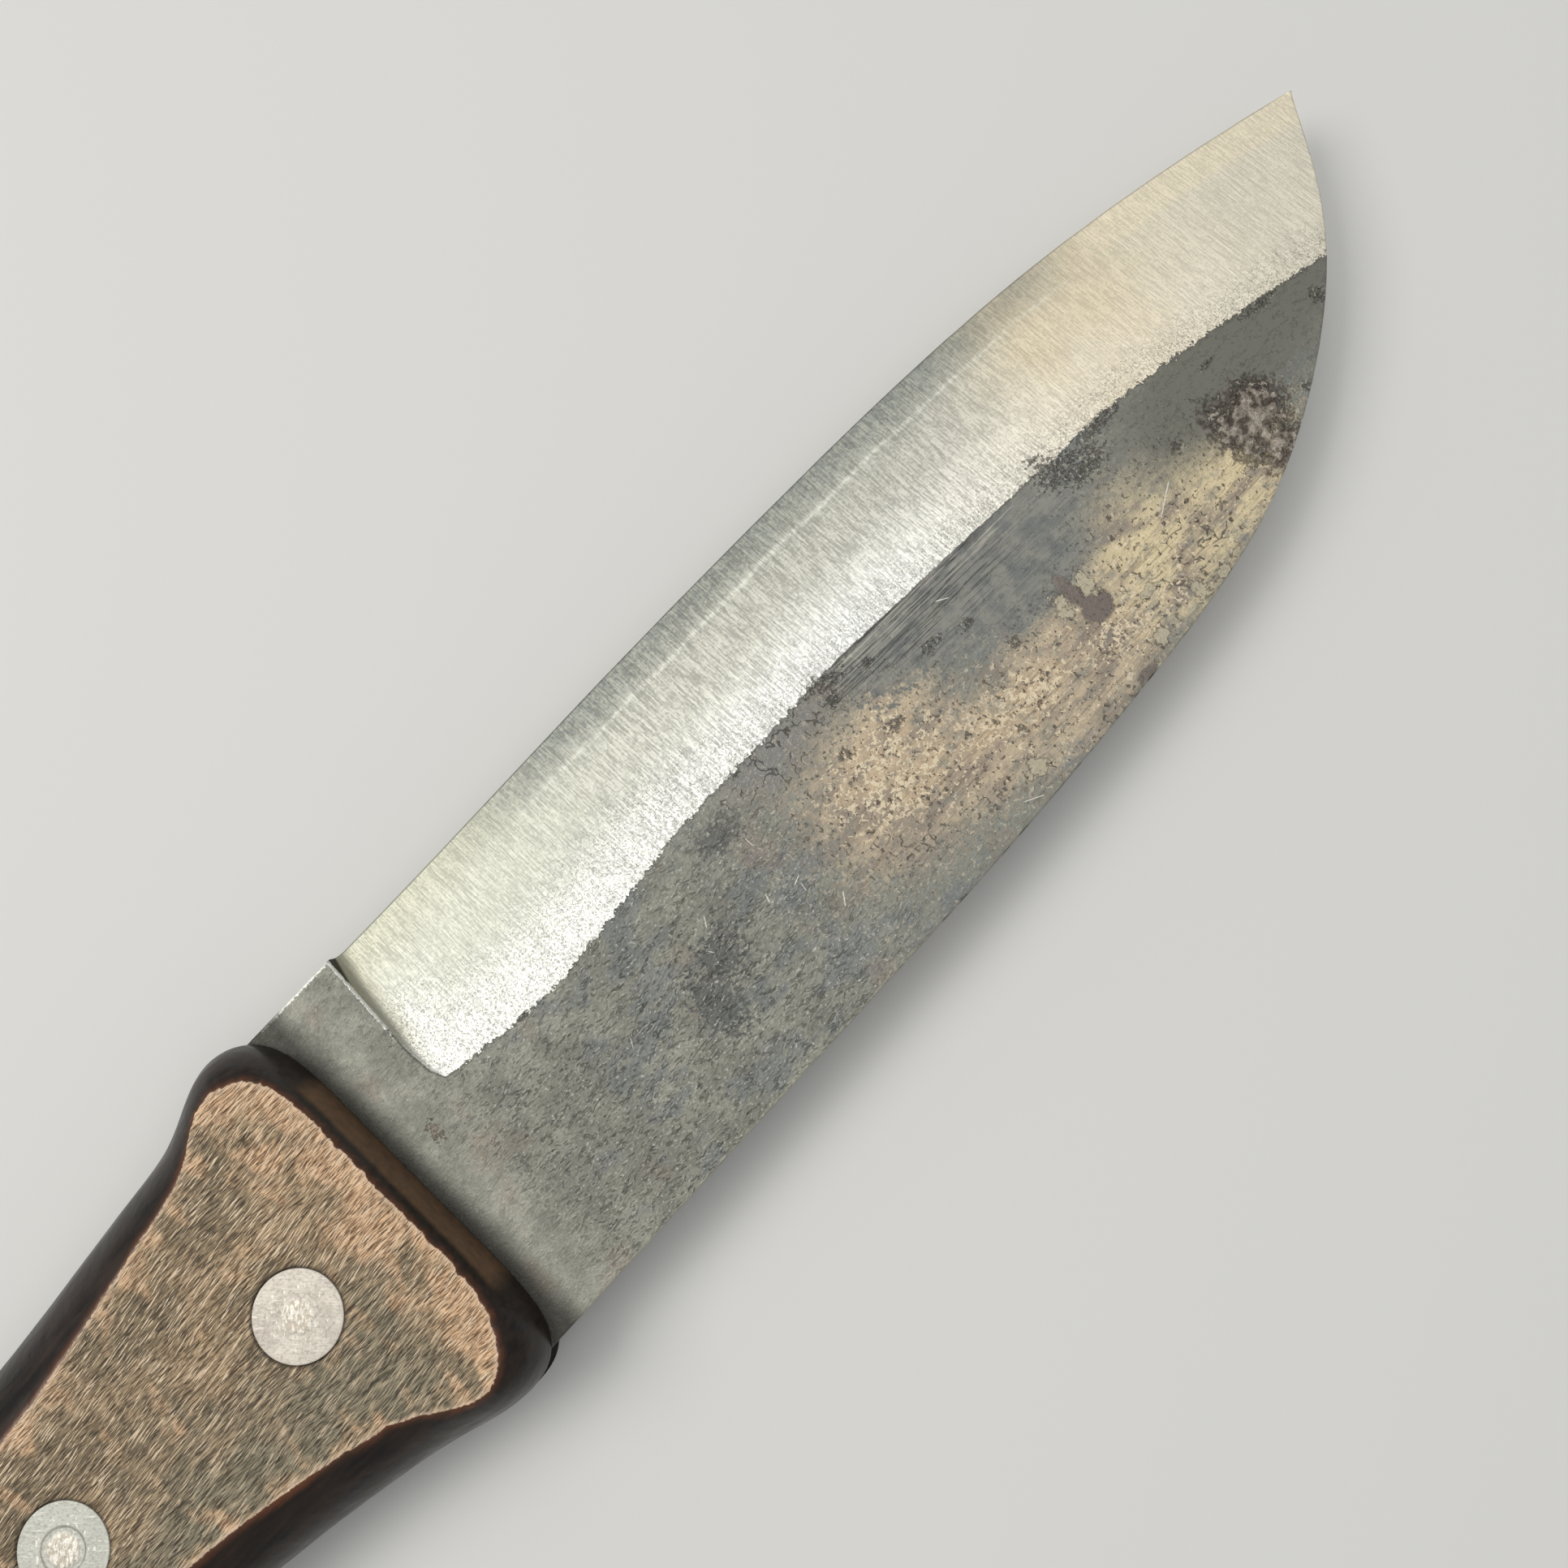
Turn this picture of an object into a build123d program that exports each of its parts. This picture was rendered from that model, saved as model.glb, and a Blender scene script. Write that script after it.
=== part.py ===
from build123d import *

import math
import os

# A full-tang butcher's knife: a forged steel blade and tang in one piece, two wooden scales, and
# three rivets peened into flush washers. Drafting frame, in millimetres: X runs along the spine
# from the front of the handle to the tip, Y from the spine to the cutting edge, and Z up out of
# the left face from the middle of the steel.

# Driving dimensions
STEEL_THICKNESS = 4.0
BLADE_WIDTH = 48.0
TIP_X = 164.5
TIP_THICKNESS = 1.6
EDGE_THICKNESS = 0.2
EDGE_BEVEL_WIDTH = 4.4
EDGE_BEVEL_ROOT = 0.38
RICASSO_LENGTH = 11.0
PLUNGE_LEAN = 0.9
HANDLE_LENGTH = 115.0
SCALE_THICKNESS = 7.0
SHOULDER_TURN = math.radians(55)
RIVET_HEAD_DIAMETER = 10.0
RIVET_HEAD_THICKNESS = 1.2
RIVET_SHANK_DIAMETER = 4.0
RIVET_PEEN_DIAMETER = 4.8
RIVET_PEEN_DEPTH = 0.5
RIVET_SPACING = 33.5
RIVET_LINE_START = (-15.7, 21.8)
RIVET_LINE_RISE = 1.2
HOLE_CLEARANCE = 0.1

HALF_STEEL = STEEL_THICKNESS / 2
HALF_TIP = TIP_THICKNESS / 2
HALF_EDGE = EDGE_THICKNESS / 2
FLAT_HEIGHT = HALF_STEEL + SCALE_THICKNESS
HANDLE_MIDDLE_Y = 24.4
TANG_OVERLAP = 8.0
CUTTER_REACH = 6.0
SHOULDER_STEPS = 4

# Stations along the ground blade: X, the Y where the grind leaves the forged face, and the Y of
# the cutting edge.
GRIND_STATIONS = [
    (RICASSO_LENGTH, 29.0, 47.9),
    (28.0, 27.2, 47.8),
    (55.0, 28.9, 48.0),
    (80.0, 28.9, 47.7),
    (105.0, 27.4, 46.8),
    (125.0, 25.3, 45.0),
    (145.0, 21.2, 41.5),
    (TIP_X, 15.8, 36.6),
]

# The spine runs straight, then sweeps up to the tip.
SPINE_SWEEP = [(60.0, 0.0), (100.0, 1.4), (122.0, 4.4), (140.0, 12.0), (156.0, 24.7), (TIP_X, 36.6)]
SPINE_DIRECTION = (1.0, 0.0)
TIP_DIRECTION = (0.56, 0.83)

# The handle's outline, from its straight front round by the edge side to the butt. Each row is a
# point of the wood where it meets the steel, then the matching point of its flat's rim.
EDGE_SIDE = [
    ((1.3, 37.0), (-0.3, 35.0)),
    ((1.0, 42.2), (-0.8, 40.0)),
    ((0.0, 45.8), (-2.0, 43.2)),
    ((-2.3, 48.5), (-4.2, 44.9)),
    ((-5.7, 49.5), (-7.0, 45.4)),
    ((-9.3, 48.6), (-10.0, 44.4)),
    ((-14.0, 46.5), (-14.0, 41.8)),
    ((-21.0, 45.3), (-21.0, 40.0)),
    ((-40.0, 43.1), (-40.0, 36.4)),
    ((-62.0, 41.8), (-62.0, 35.2)),
    ((-84.0, 42.6), (-84.0, 36.0)),
    ((-100.0, 43.9), (-99.0, 37.4)),
    ((-108.0, 42.6), (-104.5, 36.4)),
    ((-113.2, 36.2), (-108.0, 32.0)),
]
BUTT = ((-HANDLE_LENGTH, HANDLE_MIDDLE_Y), (-109.0, HANDLE_MIDDLE_Y))
SPINE_SIDE = [
    ((-40.0, 5.7), (-40.0, 12.0)),
    ((-21.0, 2.4), (-21.0, 8.1)),
    ((-14.0, 0.6), (-14.0, 5.4)),
    ((-9.3, -0.9), (-10.0, 2.6)),
    ((-5.7, -1.4), (-7.0, 1.7)),
    ((-2.3, -0.7), (-4.2, 3.0)),
    ((0.0, 1.7), (-2.2, 5.3)),
    ((1.0, 5.5), (-1.0, 8.5)),
    ((1.3, 11.0), (-0.3, 13.5)),
]
FRONT_DIRECTION = (0.0, 1.0, 0.0)


def mirrored(row):
    """The same outline row on the other side of the handle's middle line."""
    return tuple((x, 2 * HANDLE_MIDDLE_Y - y) for x, y in row)


REAR_START = 9
REAR_ROWS = [mirrored(row) for row in reversed(EDGE_SIDE[REAR_START:])]
OUTLINE = EDGE_SIDE + [BUTT] + REAR_ROWS + SPINE_SIDE


def half_steel_at(x):
    """Half the thickness of the forged flats, which taper evenly from the ricasso to the tip."""
    along = (x - RICASSO_LENGTH) / (TIP_X - RICASSO_LENGTH)
    return HALF_STEEL + (HALF_TIP - HALF_STEEL) * max(along, 0.0)


def running_lengths(points):
    """How far along the outline each point lies, in straight steps."""
    lengths = [0.0]
    for start, end in zip(points, points[1:]):
        lengths.append(lengths[-1] + math.dist(start, end))
    return lengths


def handle_section(turn):
    """A level cut through a scale, from 0 at the steel to 1 at the rim of its flat."""
    angle = turn * SHOULDER_TURN
    reach = (1 - math.cos(angle)) / (1 - math.cos(SHOULDER_TURN))
    height = SCALE_THICKNESS * math.sin(angle) / math.sin(SHOULDER_TURN)
    points = []
    for outer, rim in OUTLINE:
        x = outer[0] + (rim[0] - outer[0]) * reach
        y = outer[1] + (rim[1] - outer[1]) * reach
        points.append((x, y, HALF_STEEL + height))
    sides = Edge.make_spline(
        points,
        tangents=[FRONT_DIRECTION, FRONT_DIRECTION],
        parameters=running_lengths([outer for outer, _ in OUTLINE]),
        scale=False,
    )
    front = Edge.make_line(points[-1], points[0])
    return Face(Wire([sides, front]))


def rivet_centres():
    """The rivets stand in a line that rises slightly towards the butt."""
    start_x, start_y = RIVET_LINE_START
    return [(start_x - i * RIVET_SPACING, start_y + i * RIVET_LINE_RISE) for i in range(3)]


def upright(radius, low, high, centre):
    """A round bar along Z between two heights."""
    bar = Cylinder(radius, high - low, align=(Align.CENTER, Align.CENTER, Align.MIN))
    return Pos(centre[0], centre[1], low) * bar


def blade_outline():
    """The knife's steel in plan: blade, ricasso and full tang."""
    edge_points = [(x, edge_y) for x, _, edge_y in GRIND_STATIONS]
    spine = Edge.make_spline(SPINE_SWEEP, tangents=[SPINE_DIRECTION, TIP_DIRECTION], scale=False)
    edge = Edge.make_spline(edge_points)
    back = -TANG_OVERLAP
    straight = Polyline(
        edge_points[0],
        (RICASSO_LENGTH, BLADE_WIDTH),
        (back, BLADE_WIDTH),
        (back, 0),
        SPINE_SWEEP[0],
    )
    blade = make_face([spine, edge] + straight.edges())
    tang = Pos(0, 0, -HALF_STEEL) * handle_section(0)
    band = Pos(-HANDLE_LENGTH / 2, BLADE_WIDTH / 2) * Rectangle(2 * HANDLE_LENGTH, BLADE_WIDTH)
    return blade + (tang & band)


def taper_blank():
    """The forged bar seen from the side, wide enough to hold the whole outline."""
    rear = -HANDLE_LENGTH - CUTTER_REACH
    tip_half = half_steel_at(TIP_X)
    side = Polyline(
        (rear, -HALF_STEEL),
        (RICASSO_LENGTH, -HALF_STEEL),
        (TIP_X, -tip_half),
        (TIP_X, tip_half),
        (RICASSO_LENGTH, HALF_STEEL),
        (rear, HALF_STEEL),
        close=True,
    )
    face = make_face(Plane.XZ * side)
    return Pos(0, BLADE_WIDTH + CUTTER_REACH, 0) * extrude(face, BLADE_WIDTH + 2 * CUTTER_REACH)


def grind_section(station):
    """What grinding removes above the left bevel at one station, across the blade."""
    x, grind_y, edge_y = station
    half = half_steel_at(x)
    root = EDGE_BEVEL_ROOT * half
    root_y = edge_y - EDGE_BEVEL_WIDTH
    slope = (half - root) / (root_y - grind_y)
    clear = HALF_STEEL + CUTTER_REACH * slope
    points = [
        (x, grind_y - CUTTER_REACH, half + CUTTER_REACH * slope),
        (x, root_y, root),
        (x, edge_y, HALF_EDGE),
        (x, edge_y + CUTTER_REACH, HALF_EDGE),
        (x, edge_y + CUTTER_REACH, clear + CUTTER_REACH),
        (x, grind_y - CUTTER_REACH, clear + CUTTER_REACH),
    ]
    return Face(Wire.make_polygon(points, close=True))


def grind_cutter():
    """The left side's grind, with a plunge wall that leans away from the handle."""
    cutter = loft([grind_section(station) for station in GRIND_STATIONS])
    lean = math.degrees(math.atan2(PLUNGE_LEAN, HALF_STEEL))
    wall = Box(
        2 * CUTTER_REACH,
        4 * BLADE_WIDTH,
        8 * CUTTER_REACH,
        align=(Align.MAX, Align.CENTER, Align.CENTER),
    )
    return cutter - Pos(RICASSO_LENGTH, 0, HALF_STEEL) * Rot(0, lean, 0) * wall


def make_blade():
    plan = Pos(0, 0, -CUTTER_REACH) * blade_outline()
    steel = extrude(plan, 2 * CUTTER_REACH) & taper_blank()
    cutter = grind_cutter()
    steel -= cutter
    steel -= mirror(cutter, about=Plane.XY)
    for centre in rivet_centres():
        steel -= upright(RIVET_SHANK_DIAMETER / 2 + HOLE_CLEARANCE, -HALF_STEEL, HALF_STEEL, centre)
    return steel


def make_left_scale():
    """The wood on the left face, with a stepped hole for each rivet."""
    sections = [handle_section(step / SHOULDER_STEPS) for step in range(SHOULDER_STEPS + 1)]
    wood = loft(sections)
    for centre in rivet_centres():
        shank_radius = RIVET_SHANK_DIAMETER / 2 + HOLE_CLEARANCE
        head_radius = RIVET_HEAD_DIAMETER / 2 + HOLE_CLEARANCE
        wood -= upright(shank_radius, HALF_STEEL, FLAT_HEIGHT, centre)
        wood -= upright(head_radius, FLAT_HEIGHT - RIVET_HEAD_THICKNESS, FLAT_HEIGHT, centre)
    return wood


def make_rivet(centre):
    """A flat-headed rivet put in from the right side, its far end spread by the hammer."""
    head_low = -FLAT_HEIGHT
    head_high = head_low + RIVET_HEAD_THICKNESS
    peen_low = FLAT_HEIGHT - RIVET_PEEN_DEPTH
    head = upright(RIVET_HEAD_DIAMETER / 2, head_low, head_high, centre)
    shank = upright(RIVET_SHANK_DIAMETER / 2, head_high, peen_low, centre)
    return head + shank + peened_end(centre)


def peened_end(centre):
    """The spread end of a rivet, which fills its washer's countersink."""
    cone = Cone(
        RIVET_SHANK_DIAMETER / 2,
        RIVET_PEEN_DIAMETER / 2,
        RIVET_PEEN_DEPTH,
        align=(Align.CENTER, Align.CENTER, Align.MIN),
    )
    return Pos(centre[0], centre[1], FLAT_HEIGHT - RIVET_PEEN_DEPTH) * cone


def make_washer(centre):
    """The flush disc on the left side that the rivet is peened into."""
    low = FLAT_HEIGHT - RIVET_HEAD_THICKNESS
    disc = upright(RIVET_HEAD_DIAMETER / 2, low, FLAT_HEIGHT, centre)
    return disc - upright(RIVET_SHANK_DIAMETER / 2, low, FLAT_HEIGHT, centre) - peened_end(centre)


def make_parts():
    left_scale = make_left_scale()
    parts = {
        "blade": make_blade(),
        "left_scale": left_scale,
        "right_scale": mirror(left_scale, about=Plane.XY),
    }
    for place, centre in zip(("front", "middle", "rear"), rivet_centres()):
        parts[place + "_rivet"] = make_rivet(centre)
        parts[place + "_washer"] = make_washer(centre)
    return parts


def place_on_base(parts):
    """Move every part so that the origin is under the middle of the knife, on its lower flat."""
    box = Compound(list(parts.values())).bounding_box()
    shift = Pos(-box.center().X, -box.center().Y, -box.min.Z)
    return {name: shift * part for name, part in parts.items()}


os.makedirs("parts", exist_ok=True)
for name, part in place_on_base(make_parts()).items():
    export_step(part, f"parts/{name}.step")
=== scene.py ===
import math

import bpy
import numpy as np
from mathutils import Matrix, Vector
from mathutils.geometry import delaunay_2d_cdt


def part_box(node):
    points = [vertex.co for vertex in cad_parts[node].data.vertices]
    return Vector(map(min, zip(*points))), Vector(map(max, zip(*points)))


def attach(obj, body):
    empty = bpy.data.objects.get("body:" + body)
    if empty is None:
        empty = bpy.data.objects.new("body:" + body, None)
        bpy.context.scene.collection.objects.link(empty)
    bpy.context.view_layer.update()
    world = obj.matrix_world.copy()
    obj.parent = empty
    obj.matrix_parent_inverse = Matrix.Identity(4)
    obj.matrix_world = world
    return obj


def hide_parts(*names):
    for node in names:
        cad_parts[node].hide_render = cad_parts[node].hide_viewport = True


# The looks of a hand-forged butcher's knife. Shapes are made in millimetres in the knife's own
# frame, whose X runs along the spine from the front of the handle to the tip, Y from the spine to
# the cutting edge, and Z up from the middle of the steel. Their outlines are read from the frame.

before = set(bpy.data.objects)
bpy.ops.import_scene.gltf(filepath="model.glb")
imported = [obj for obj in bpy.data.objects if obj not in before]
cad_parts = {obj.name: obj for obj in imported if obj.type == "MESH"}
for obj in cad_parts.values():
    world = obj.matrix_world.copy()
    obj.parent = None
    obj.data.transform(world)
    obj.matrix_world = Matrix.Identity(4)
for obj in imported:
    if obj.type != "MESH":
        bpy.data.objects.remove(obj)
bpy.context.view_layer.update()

MM = 0.001
TIP_X = 164.5
blade_low, blade_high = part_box("blade")
ORIGIN = np.array([blade_high.x - TIP_X * MM, blade_low.y, (blade_low.z + blade_high.z) / 2])

# ---------------- reading the frame

SAME_LEVEL = 0.002
CUT_SHIFT = 1e-4
SMOOTHING = 5


def to_row(points):
    """Points in millimetres in the knife's frame, in metres in the row's frame."""
    return np.asarray(points, float) * MM + ORIGIN


def points_of(piece):
    """The points of a mesh object, in millimetres in the knife's frame."""
    points = np.empty(len(piece.data.vertices) * 3)
    piece.data.vertices.foreach_get("co", points)
    return (points.reshape(-1, 3) - ORIGIN) / MM


def cad_points(node):
    """The corners of a CAD node's mesh, in the same way."""
    return points_of(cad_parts[node])


def blade_edges():
    """Both ends of every edge of the blade's mesh in the frame."""
    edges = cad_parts["blade"].data.edges
    ends = np.empty(len(edges) * 2, int)
    edges.foreach_get("vertices", ends)
    return cad_points("blade")[ends.reshape(-1, 2).T]


BLADE_EDGES = blade_edges()
SCALE_TOP = abs(cad_points("left_scale")[:, 2]).max()


def section(x):
    """Where a cut across the blade at x meets its surface, as rows of y and z."""
    start, end = BLADE_EDGES
    x = x + CUT_SHIFT
    crossing = (start[:, 0] - x) * (end[:, 0] - x) < 0
    start, end = start[crossing], end[crossing]
    share = ((x - start[:, 0]) / (end[:, 0] - start[:, 0]))[:, None]
    return (start + (end - start) * share)[:, 1:]


def blade_sides(stations):
    """Y of the blade's spine and of its edge at each x."""
    cuts = [section(x)[:, 0] for x in stations]
    return np.array([cut.min() for cut in cuts]), np.array([cut.max() for cut in cuts])


def smoothed(values):
    """A row of values with its small steps evened out; the ends stay where they are."""
    before = 2 * values[0] - values[SMOOTHING:0:-1]
    after = 2 * values[-1] - values[-2:-SMOOTHING - 2:-1]
    weights = np.hanning(2 * SMOOTHING + 3)[1:-1]
    return np.convolve(np.concatenate([before, values, after]), weights / weights.sum(), "valid")


def level_loop(node, z):
    """The outline of a scale at one level, in order, without the rivet holes."""
    points = cad_points(node)
    points = points[abs(points[:, 2] - z) < SAME_LEVEL][:, :2]
    points = np.unique(points[rivet_distance(points) > HEAD_HOLE + 0.5].round(3), axis=0)
    current = np.lexsort((points[:, 1], -points[:, 0]))[0]
    left = np.ones(len(points), bool)
    order = []
    for _ in points:
        order.append(current)
        left[current] = False
        distance = np.hypot(*(points - points[current]).T)
        current = np.where(left, distance, np.inf).argmin()
    return points[order]


def lengths(loop):
    """How far along a row of points each one lies."""
    return np.concatenate([[0], np.cumsum(np.hypot(*np.diff(loop, axis=0).T))])


def at_places(loop, places, wanted):
    """Points of a closed outline at the wanted places, given the places of its own points."""
    closed = np.vstack([loop, loop[:1]])
    return np.stack([np.interp(wanted, places, closed[:, k]) for k in (0, 1)], 1)


def evenly(loop, count):
    """A closed outline walked in equal steps."""
    length = lengths(np.vstack([loop, loop[:1]]))
    return at_places(loop, length, np.arange(count) * length[-1] / count)


# ---------------- seeded relief

NOISE_CELLS = 256
NOISE_SHIFT = 1000


def noise(x, y, size, seed):
    """Smooth noise from -1 to 1, with lumps about size millimetres along X and along Y."""
    table = np.random.default_rng(seed).uniform(-1, 1, (NOISE_CELLS, NOISE_CELLS))
    u, v = x / size[0] + NOISE_SHIFT, y / size[1] + NOISE_SHIFT
    i, j = np.floor(u).astype(int), np.floor(v).astype(int)
    u, v = u - i, v - j
    u, v = u * u * (3 - 2 * u), v * v * (3 - 2 * v)

    def corner(di, dj):
        return table[(i + di) % NOISE_CELLS, (j + dj) % NOISE_CELLS]

    low = corner(0, 0) * (1 - u) + corner(1, 0) * u
    high = corner(0, 1) * (1 - u) + corner(1, 1) * u
    return low * (1 - v) + high * v


def layered(x, y, size, seed):
    """Noise of three sizes, each half as large and half as strong as the one before."""
    layers = [noise(x, y, (size[0] / 2**k, size[1] / 2**k), seed + k) / 2**k for k in range(3)]
    return sum(layers) / 1.5


def patch(x, y, *ovals):
    """1 in the middle of the nearest oval, 0 on its rim and negative outside."""
    found = np.full(np.shape(x), -1.0)
    for centre_x, centre_y, half_x, half_y, *turn in ovals:
        angle = math.radians(sum(turn))
        dx, dy = x - centre_x, y - centre_y
        along = dx * math.cos(angle) + dy * math.sin(angle)
        across = dy * math.cos(angle) - dx * math.sin(angle)
        found = np.maximum(found, 1 - np.hypot(along / half_x, across / half_y))
    return found


def ease(value, low, high):
    """0 below low, 1 above high and smooth between."""
    share = np.clip((value - low) / (high - low), 0, 1)
    return share * share * (3 - 2 * share)


# ---------------- rivet places

RIVET_SHANK_RADIUS = 2.0
RIVET_PEEN_RADIUS = 2.4
HOLE_CLEARANCE = 0.1
HOLE_STEPS = 96


def rivet_sizes(place):
    """A rivet's centre, and its disc's radius and thickness, from the frame."""
    low, high = ((np.array(corner) - ORIGIN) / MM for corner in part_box(place + "_washer"))
    return (low[:2] + high[:2]) / 2, (high[0] - low[0]) / 2, high[2] - low[2]


RIVETS = {place: rivet_sizes(place) for place in ("front", "middle", "rear")}
DISC_RADIUS = RIVETS["front"][1]
HEAD_HOLE = DISC_RADIUS + HOLE_CLEARANCE
SHANK_HOLE = RIVET_SHANK_RADIUS + HOLE_CLEARANCE


def rivet_distance(points):
    """How far points are from the middle of the nearest rivet."""
    return np.min([np.hypot(*(points - centre).T) for centre, _, _ in RIVETS.values()], 0)


# ---------------- mesh building

SAME_POINT = 1e-7
HOLE_SHARE = 0.995


def add_object(name, data):
    added = bpy.data.objects.new(name, data)
    bpy.context.scene.collection.objects.link(added)
    return added


class Skin:
    """Collects the points and faces of one closed mesh, in the knife's frame."""

    def __init__(self):
        self.points = []
        self.faces = []
        self.count = 0

    def add(self, x, y, z):
        """Adds points and returns their numbers."""
        x, y, z = np.broadcast_arrays(x, y, z)
        self.points.append(np.stack([x.ravel(), y.ravel(), z.ravel()], 1))
        self.count += x.size
        return np.arange(self.count - x.size, self.count)

    def ring(self, centre, radius, z):
        """Adds a circle of points."""
        return self.add(*circle(centre, radius).T, z)

    def bridge(self, *rows):
        """Faces between closed rows of as many points, each row to the next."""
        for first, second in zip(rows, rows[1:]):
            quads = np.stack([first, np.roll(first, -1), np.roll(second, -1), second], 1)
            self.faces += quads.tolist()

    def cover(self, rim, fill, triangles, z):
        """Triangles over a flat whose rim is there already; returns the flat's numbers."""
        numbers = np.concatenate([rim, self.add(*fill.T, z)])
        self.faces += numbers[triangles].tolist()
        return numbers

    def build(self, name):
        """The finished object, with its faces turned outwards and shaded smooth."""
        mesh = bpy.data.meshes.new(name)
        mesh.from_pydata(to_row(np.vstack(self.points)).tolist(), [], self.faces)
        mesh.polygons.foreach_set("use_smooth", np.ones(len(mesh.polygons), bool))
        piece = add_object(name, mesh)
        bpy.context.view_layer.objects.active = piece
        bpy.ops.object.mode_set(mode="EDIT")
        bpy.ops.mesh.select_all(action="SELECT")
        bpy.ops.mesh.normals_make_consistent(inside=False)
        bpy.ops.object.mode_set(mode="OBJECT")
        return piece


def circle(centre, radius, steps=HOLE_STEPS):
    angle = np.arange(steps) * 2 * math.pi / steps
    return np.stack([centre[0] + radius * np.cos(angle), centre[1] + radius * np.sin(angle)], 1)


def inside(points, loop):
    """Which points lie inside a closed outline."""
    found = np.zeros(len(points), bool)
    for (x0, y0), (x1, y1) in zip(loop, np.roll(loop, -1, axis=0)):
        if y0 == y1:
            continue
        crosses = (points[:, 1] < y0) != (points[:, 1] < y1)
        found ^= crosses & (points[:, 0] < x0 + (x1 - x0) * (points[:, 1] - y0) / (y1 - y0))
    return found


def grid_inside(outline, columns, lines, clear, stagger=0.0):
    """Points of a grid inside an outline and clear of the rivets."""
    x, y = np.meshgrid(columns, lines)
    x = x + (np.arange(len(x)) % 2)[:, None] * stagger
    grid = np.stack([x, y], -1).reshape(-1, 2)
    grid = grid[inside(grid, outline)]
    return grid[rivet_distance(grid) > clear]


def triangulated(outline, radius, steps, fill):
    """Points and triangles over a flat with a round hole at each rivet, through the fill."""
    loops = [outline] + [circle(centre, radius, steps) for centre, _, _ in RIVETS.values()]
    points = np.vstack(loops + [fill])
    rims = []
    for loop in loops:
        start, size = len(rims), len(loop)
        rims += [(start + k, start + (k + 1) % size) for k in range(size)]
    made = delaunay_2d_cdt([Vector(p) for p in points.tolist()], rims, [], 0, SAME_POINT)
    source = np.array([numbers[0] for numbers in made[3]])
    triangles = source[np.array(made[2])]
    middles = points[triangles].mean(1)
    keep = inside(middles, outline) & (rivet_distance(middles) > radius * HOLE_SHARE)
    return points, triangles[keep]


def paint(piece, **fields):
    """Keeps numbers or vectors at the points of a piece, by name, for its material to read."""
    for name, values in fields.items():
        kind, field = ("FLOAT", "value") if values.ndim == 1 else ("FLOAT_VECTOR", "vector")
        layer = piece.data.attributes.new(name, kind, "POINT")
        layer.data.foreach_set(field, values.astype(np.float32).ravel())


# ---------------- blade

TANG_END_X = -3.0
FIRST_GROUND_X = 13.5
HEEL_LINE = ((TANG_END_X, 48.0), (11.2, 48.0), (11.5, 47.85), (FIRST_GROUND_X, 47.85))
PLUNGE_POINTS = ((26.0, 11.6), (29.0, 11.3), (30.8, 10.6), (34.0, 10.4), (48.0, 11.3))
PLUNGE_ZONE = (10.2, 13.8)
PLUNGE_MIDDLE = 11.0
PLUNGE_REACH = 7.0
PLUNGE_RAMP = (0.35, 1.05)
BLADE_STEP = 0.42
PLUNGE_STEP = 0.14
SPINE_ROUNDING = 0.3
SPINE_FALL = 0.24
SPINE_ROWS = (0.0, 0.06, 0.16, 0.34, 0.6)
EDGE_ROWS = (0.9, 0.5, 0.2, 0.0)
MIDDLE_ROWS = 84
NARROW = 8
TIP_HALF_THICKNESS = 0.25
TIP_GAP = 0.02
TIP_SHARE = 0.6
# X of the points round the tang: from its end, along its middle, and up to the blade.
BUTT_STEPS = (0.02, 0.1, 0.25, 0.5, 0.9, 1.4, 2.1, 3.0, 4.2, 5.6, 7.4, 9.5)
TANG_MIDDLE = (11.5, -9, 1.5)
NECK_X = (-8.6, -8.0, -7.4)
TANG_STEP = 2.5
TANG_GRID = ((-113, TANG_END_X - 1), (1, 48))
BORE_STEPS = HOLE_STEPS // 2
WALL_STEPS = 4
RIGHT_FACE_SHIFT = 60.0

# Where the grind leaves the forged face.
GRIND_LINE = (
    (10.0, 29.2), (14.0, 28.5), (20.0, 27.5), (25.0, 27.0), (30.0, 27.0), (40.0, 28.0),
    (50.0, 29.0), (70.0, 29.0), (75.0, 29.2), (90.0, 28.25), (107.0, 27.1), (120.0, 26.25),
    (130.0, 24.5), (140.0, 22.3), (150.0, 20.1), (164.5, 15.8),
)


def plunge_x(y):
    """Where the ricasso ends and the grind begins, across the blade."""
    return np.interp(y, *zip(*PLUNGE_POINTS))


def grind_gap(x, y):
    """How far a place lies past the line where the grind begins, negative on the forged face."""
    return np.minimum(y - np.interp(x, *zip(*GRIND_LINE)), x - plunge_x(y))


def blade_stations():
    """X of the columns of points from the handle to just before the tip."""
    start, end = PLUNGE_ZONE
    return np.concatenate([
        np.arange(TANG_END_X, start, BLADE_STEP),
        np.arange(start, end, PLUNGE_STEP),
        np.arange(end, TIP_X - BLADE_STEP / 2, BLADE_STEP),
    ])


def across(low, high):
    """Y of one column's points, closer together at the spine and at the edge."""
    width = high - low
    near = np.array(SPINE_ROWS) * min(1, width / NARROW)
    far = width - np.array(EDGE_ROWS) * min(1, width / NARROW)
    middle = np.linspace(near[-1], far[0], MIDDLE_ROWS + 2)[1:-1]
    return low + np.concatenate([near, middle, far])


def turns_up(first, second, third):
    """Whether three points in order bend upwards or lie in line."""
    run = (second[0] - first[0]) * (third[1] - first[1])
    return run >= (second[1] - first[1]) * (third[0] - first[0])


def top_profile(cut):
    """The left face's line in a cut. It bends only downwards, so it is the cut's upper hull."""
    hull = []
    for y, z in cut[np.lexsort((cut[:, 1], cut[:, 0]))]:
        while len(hull) > 1 and turns_up(hull[-2], hull[-1], (y, z)):
            hull.pop()
        hull.append((y, z))
    return np.array(hull).T


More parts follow.
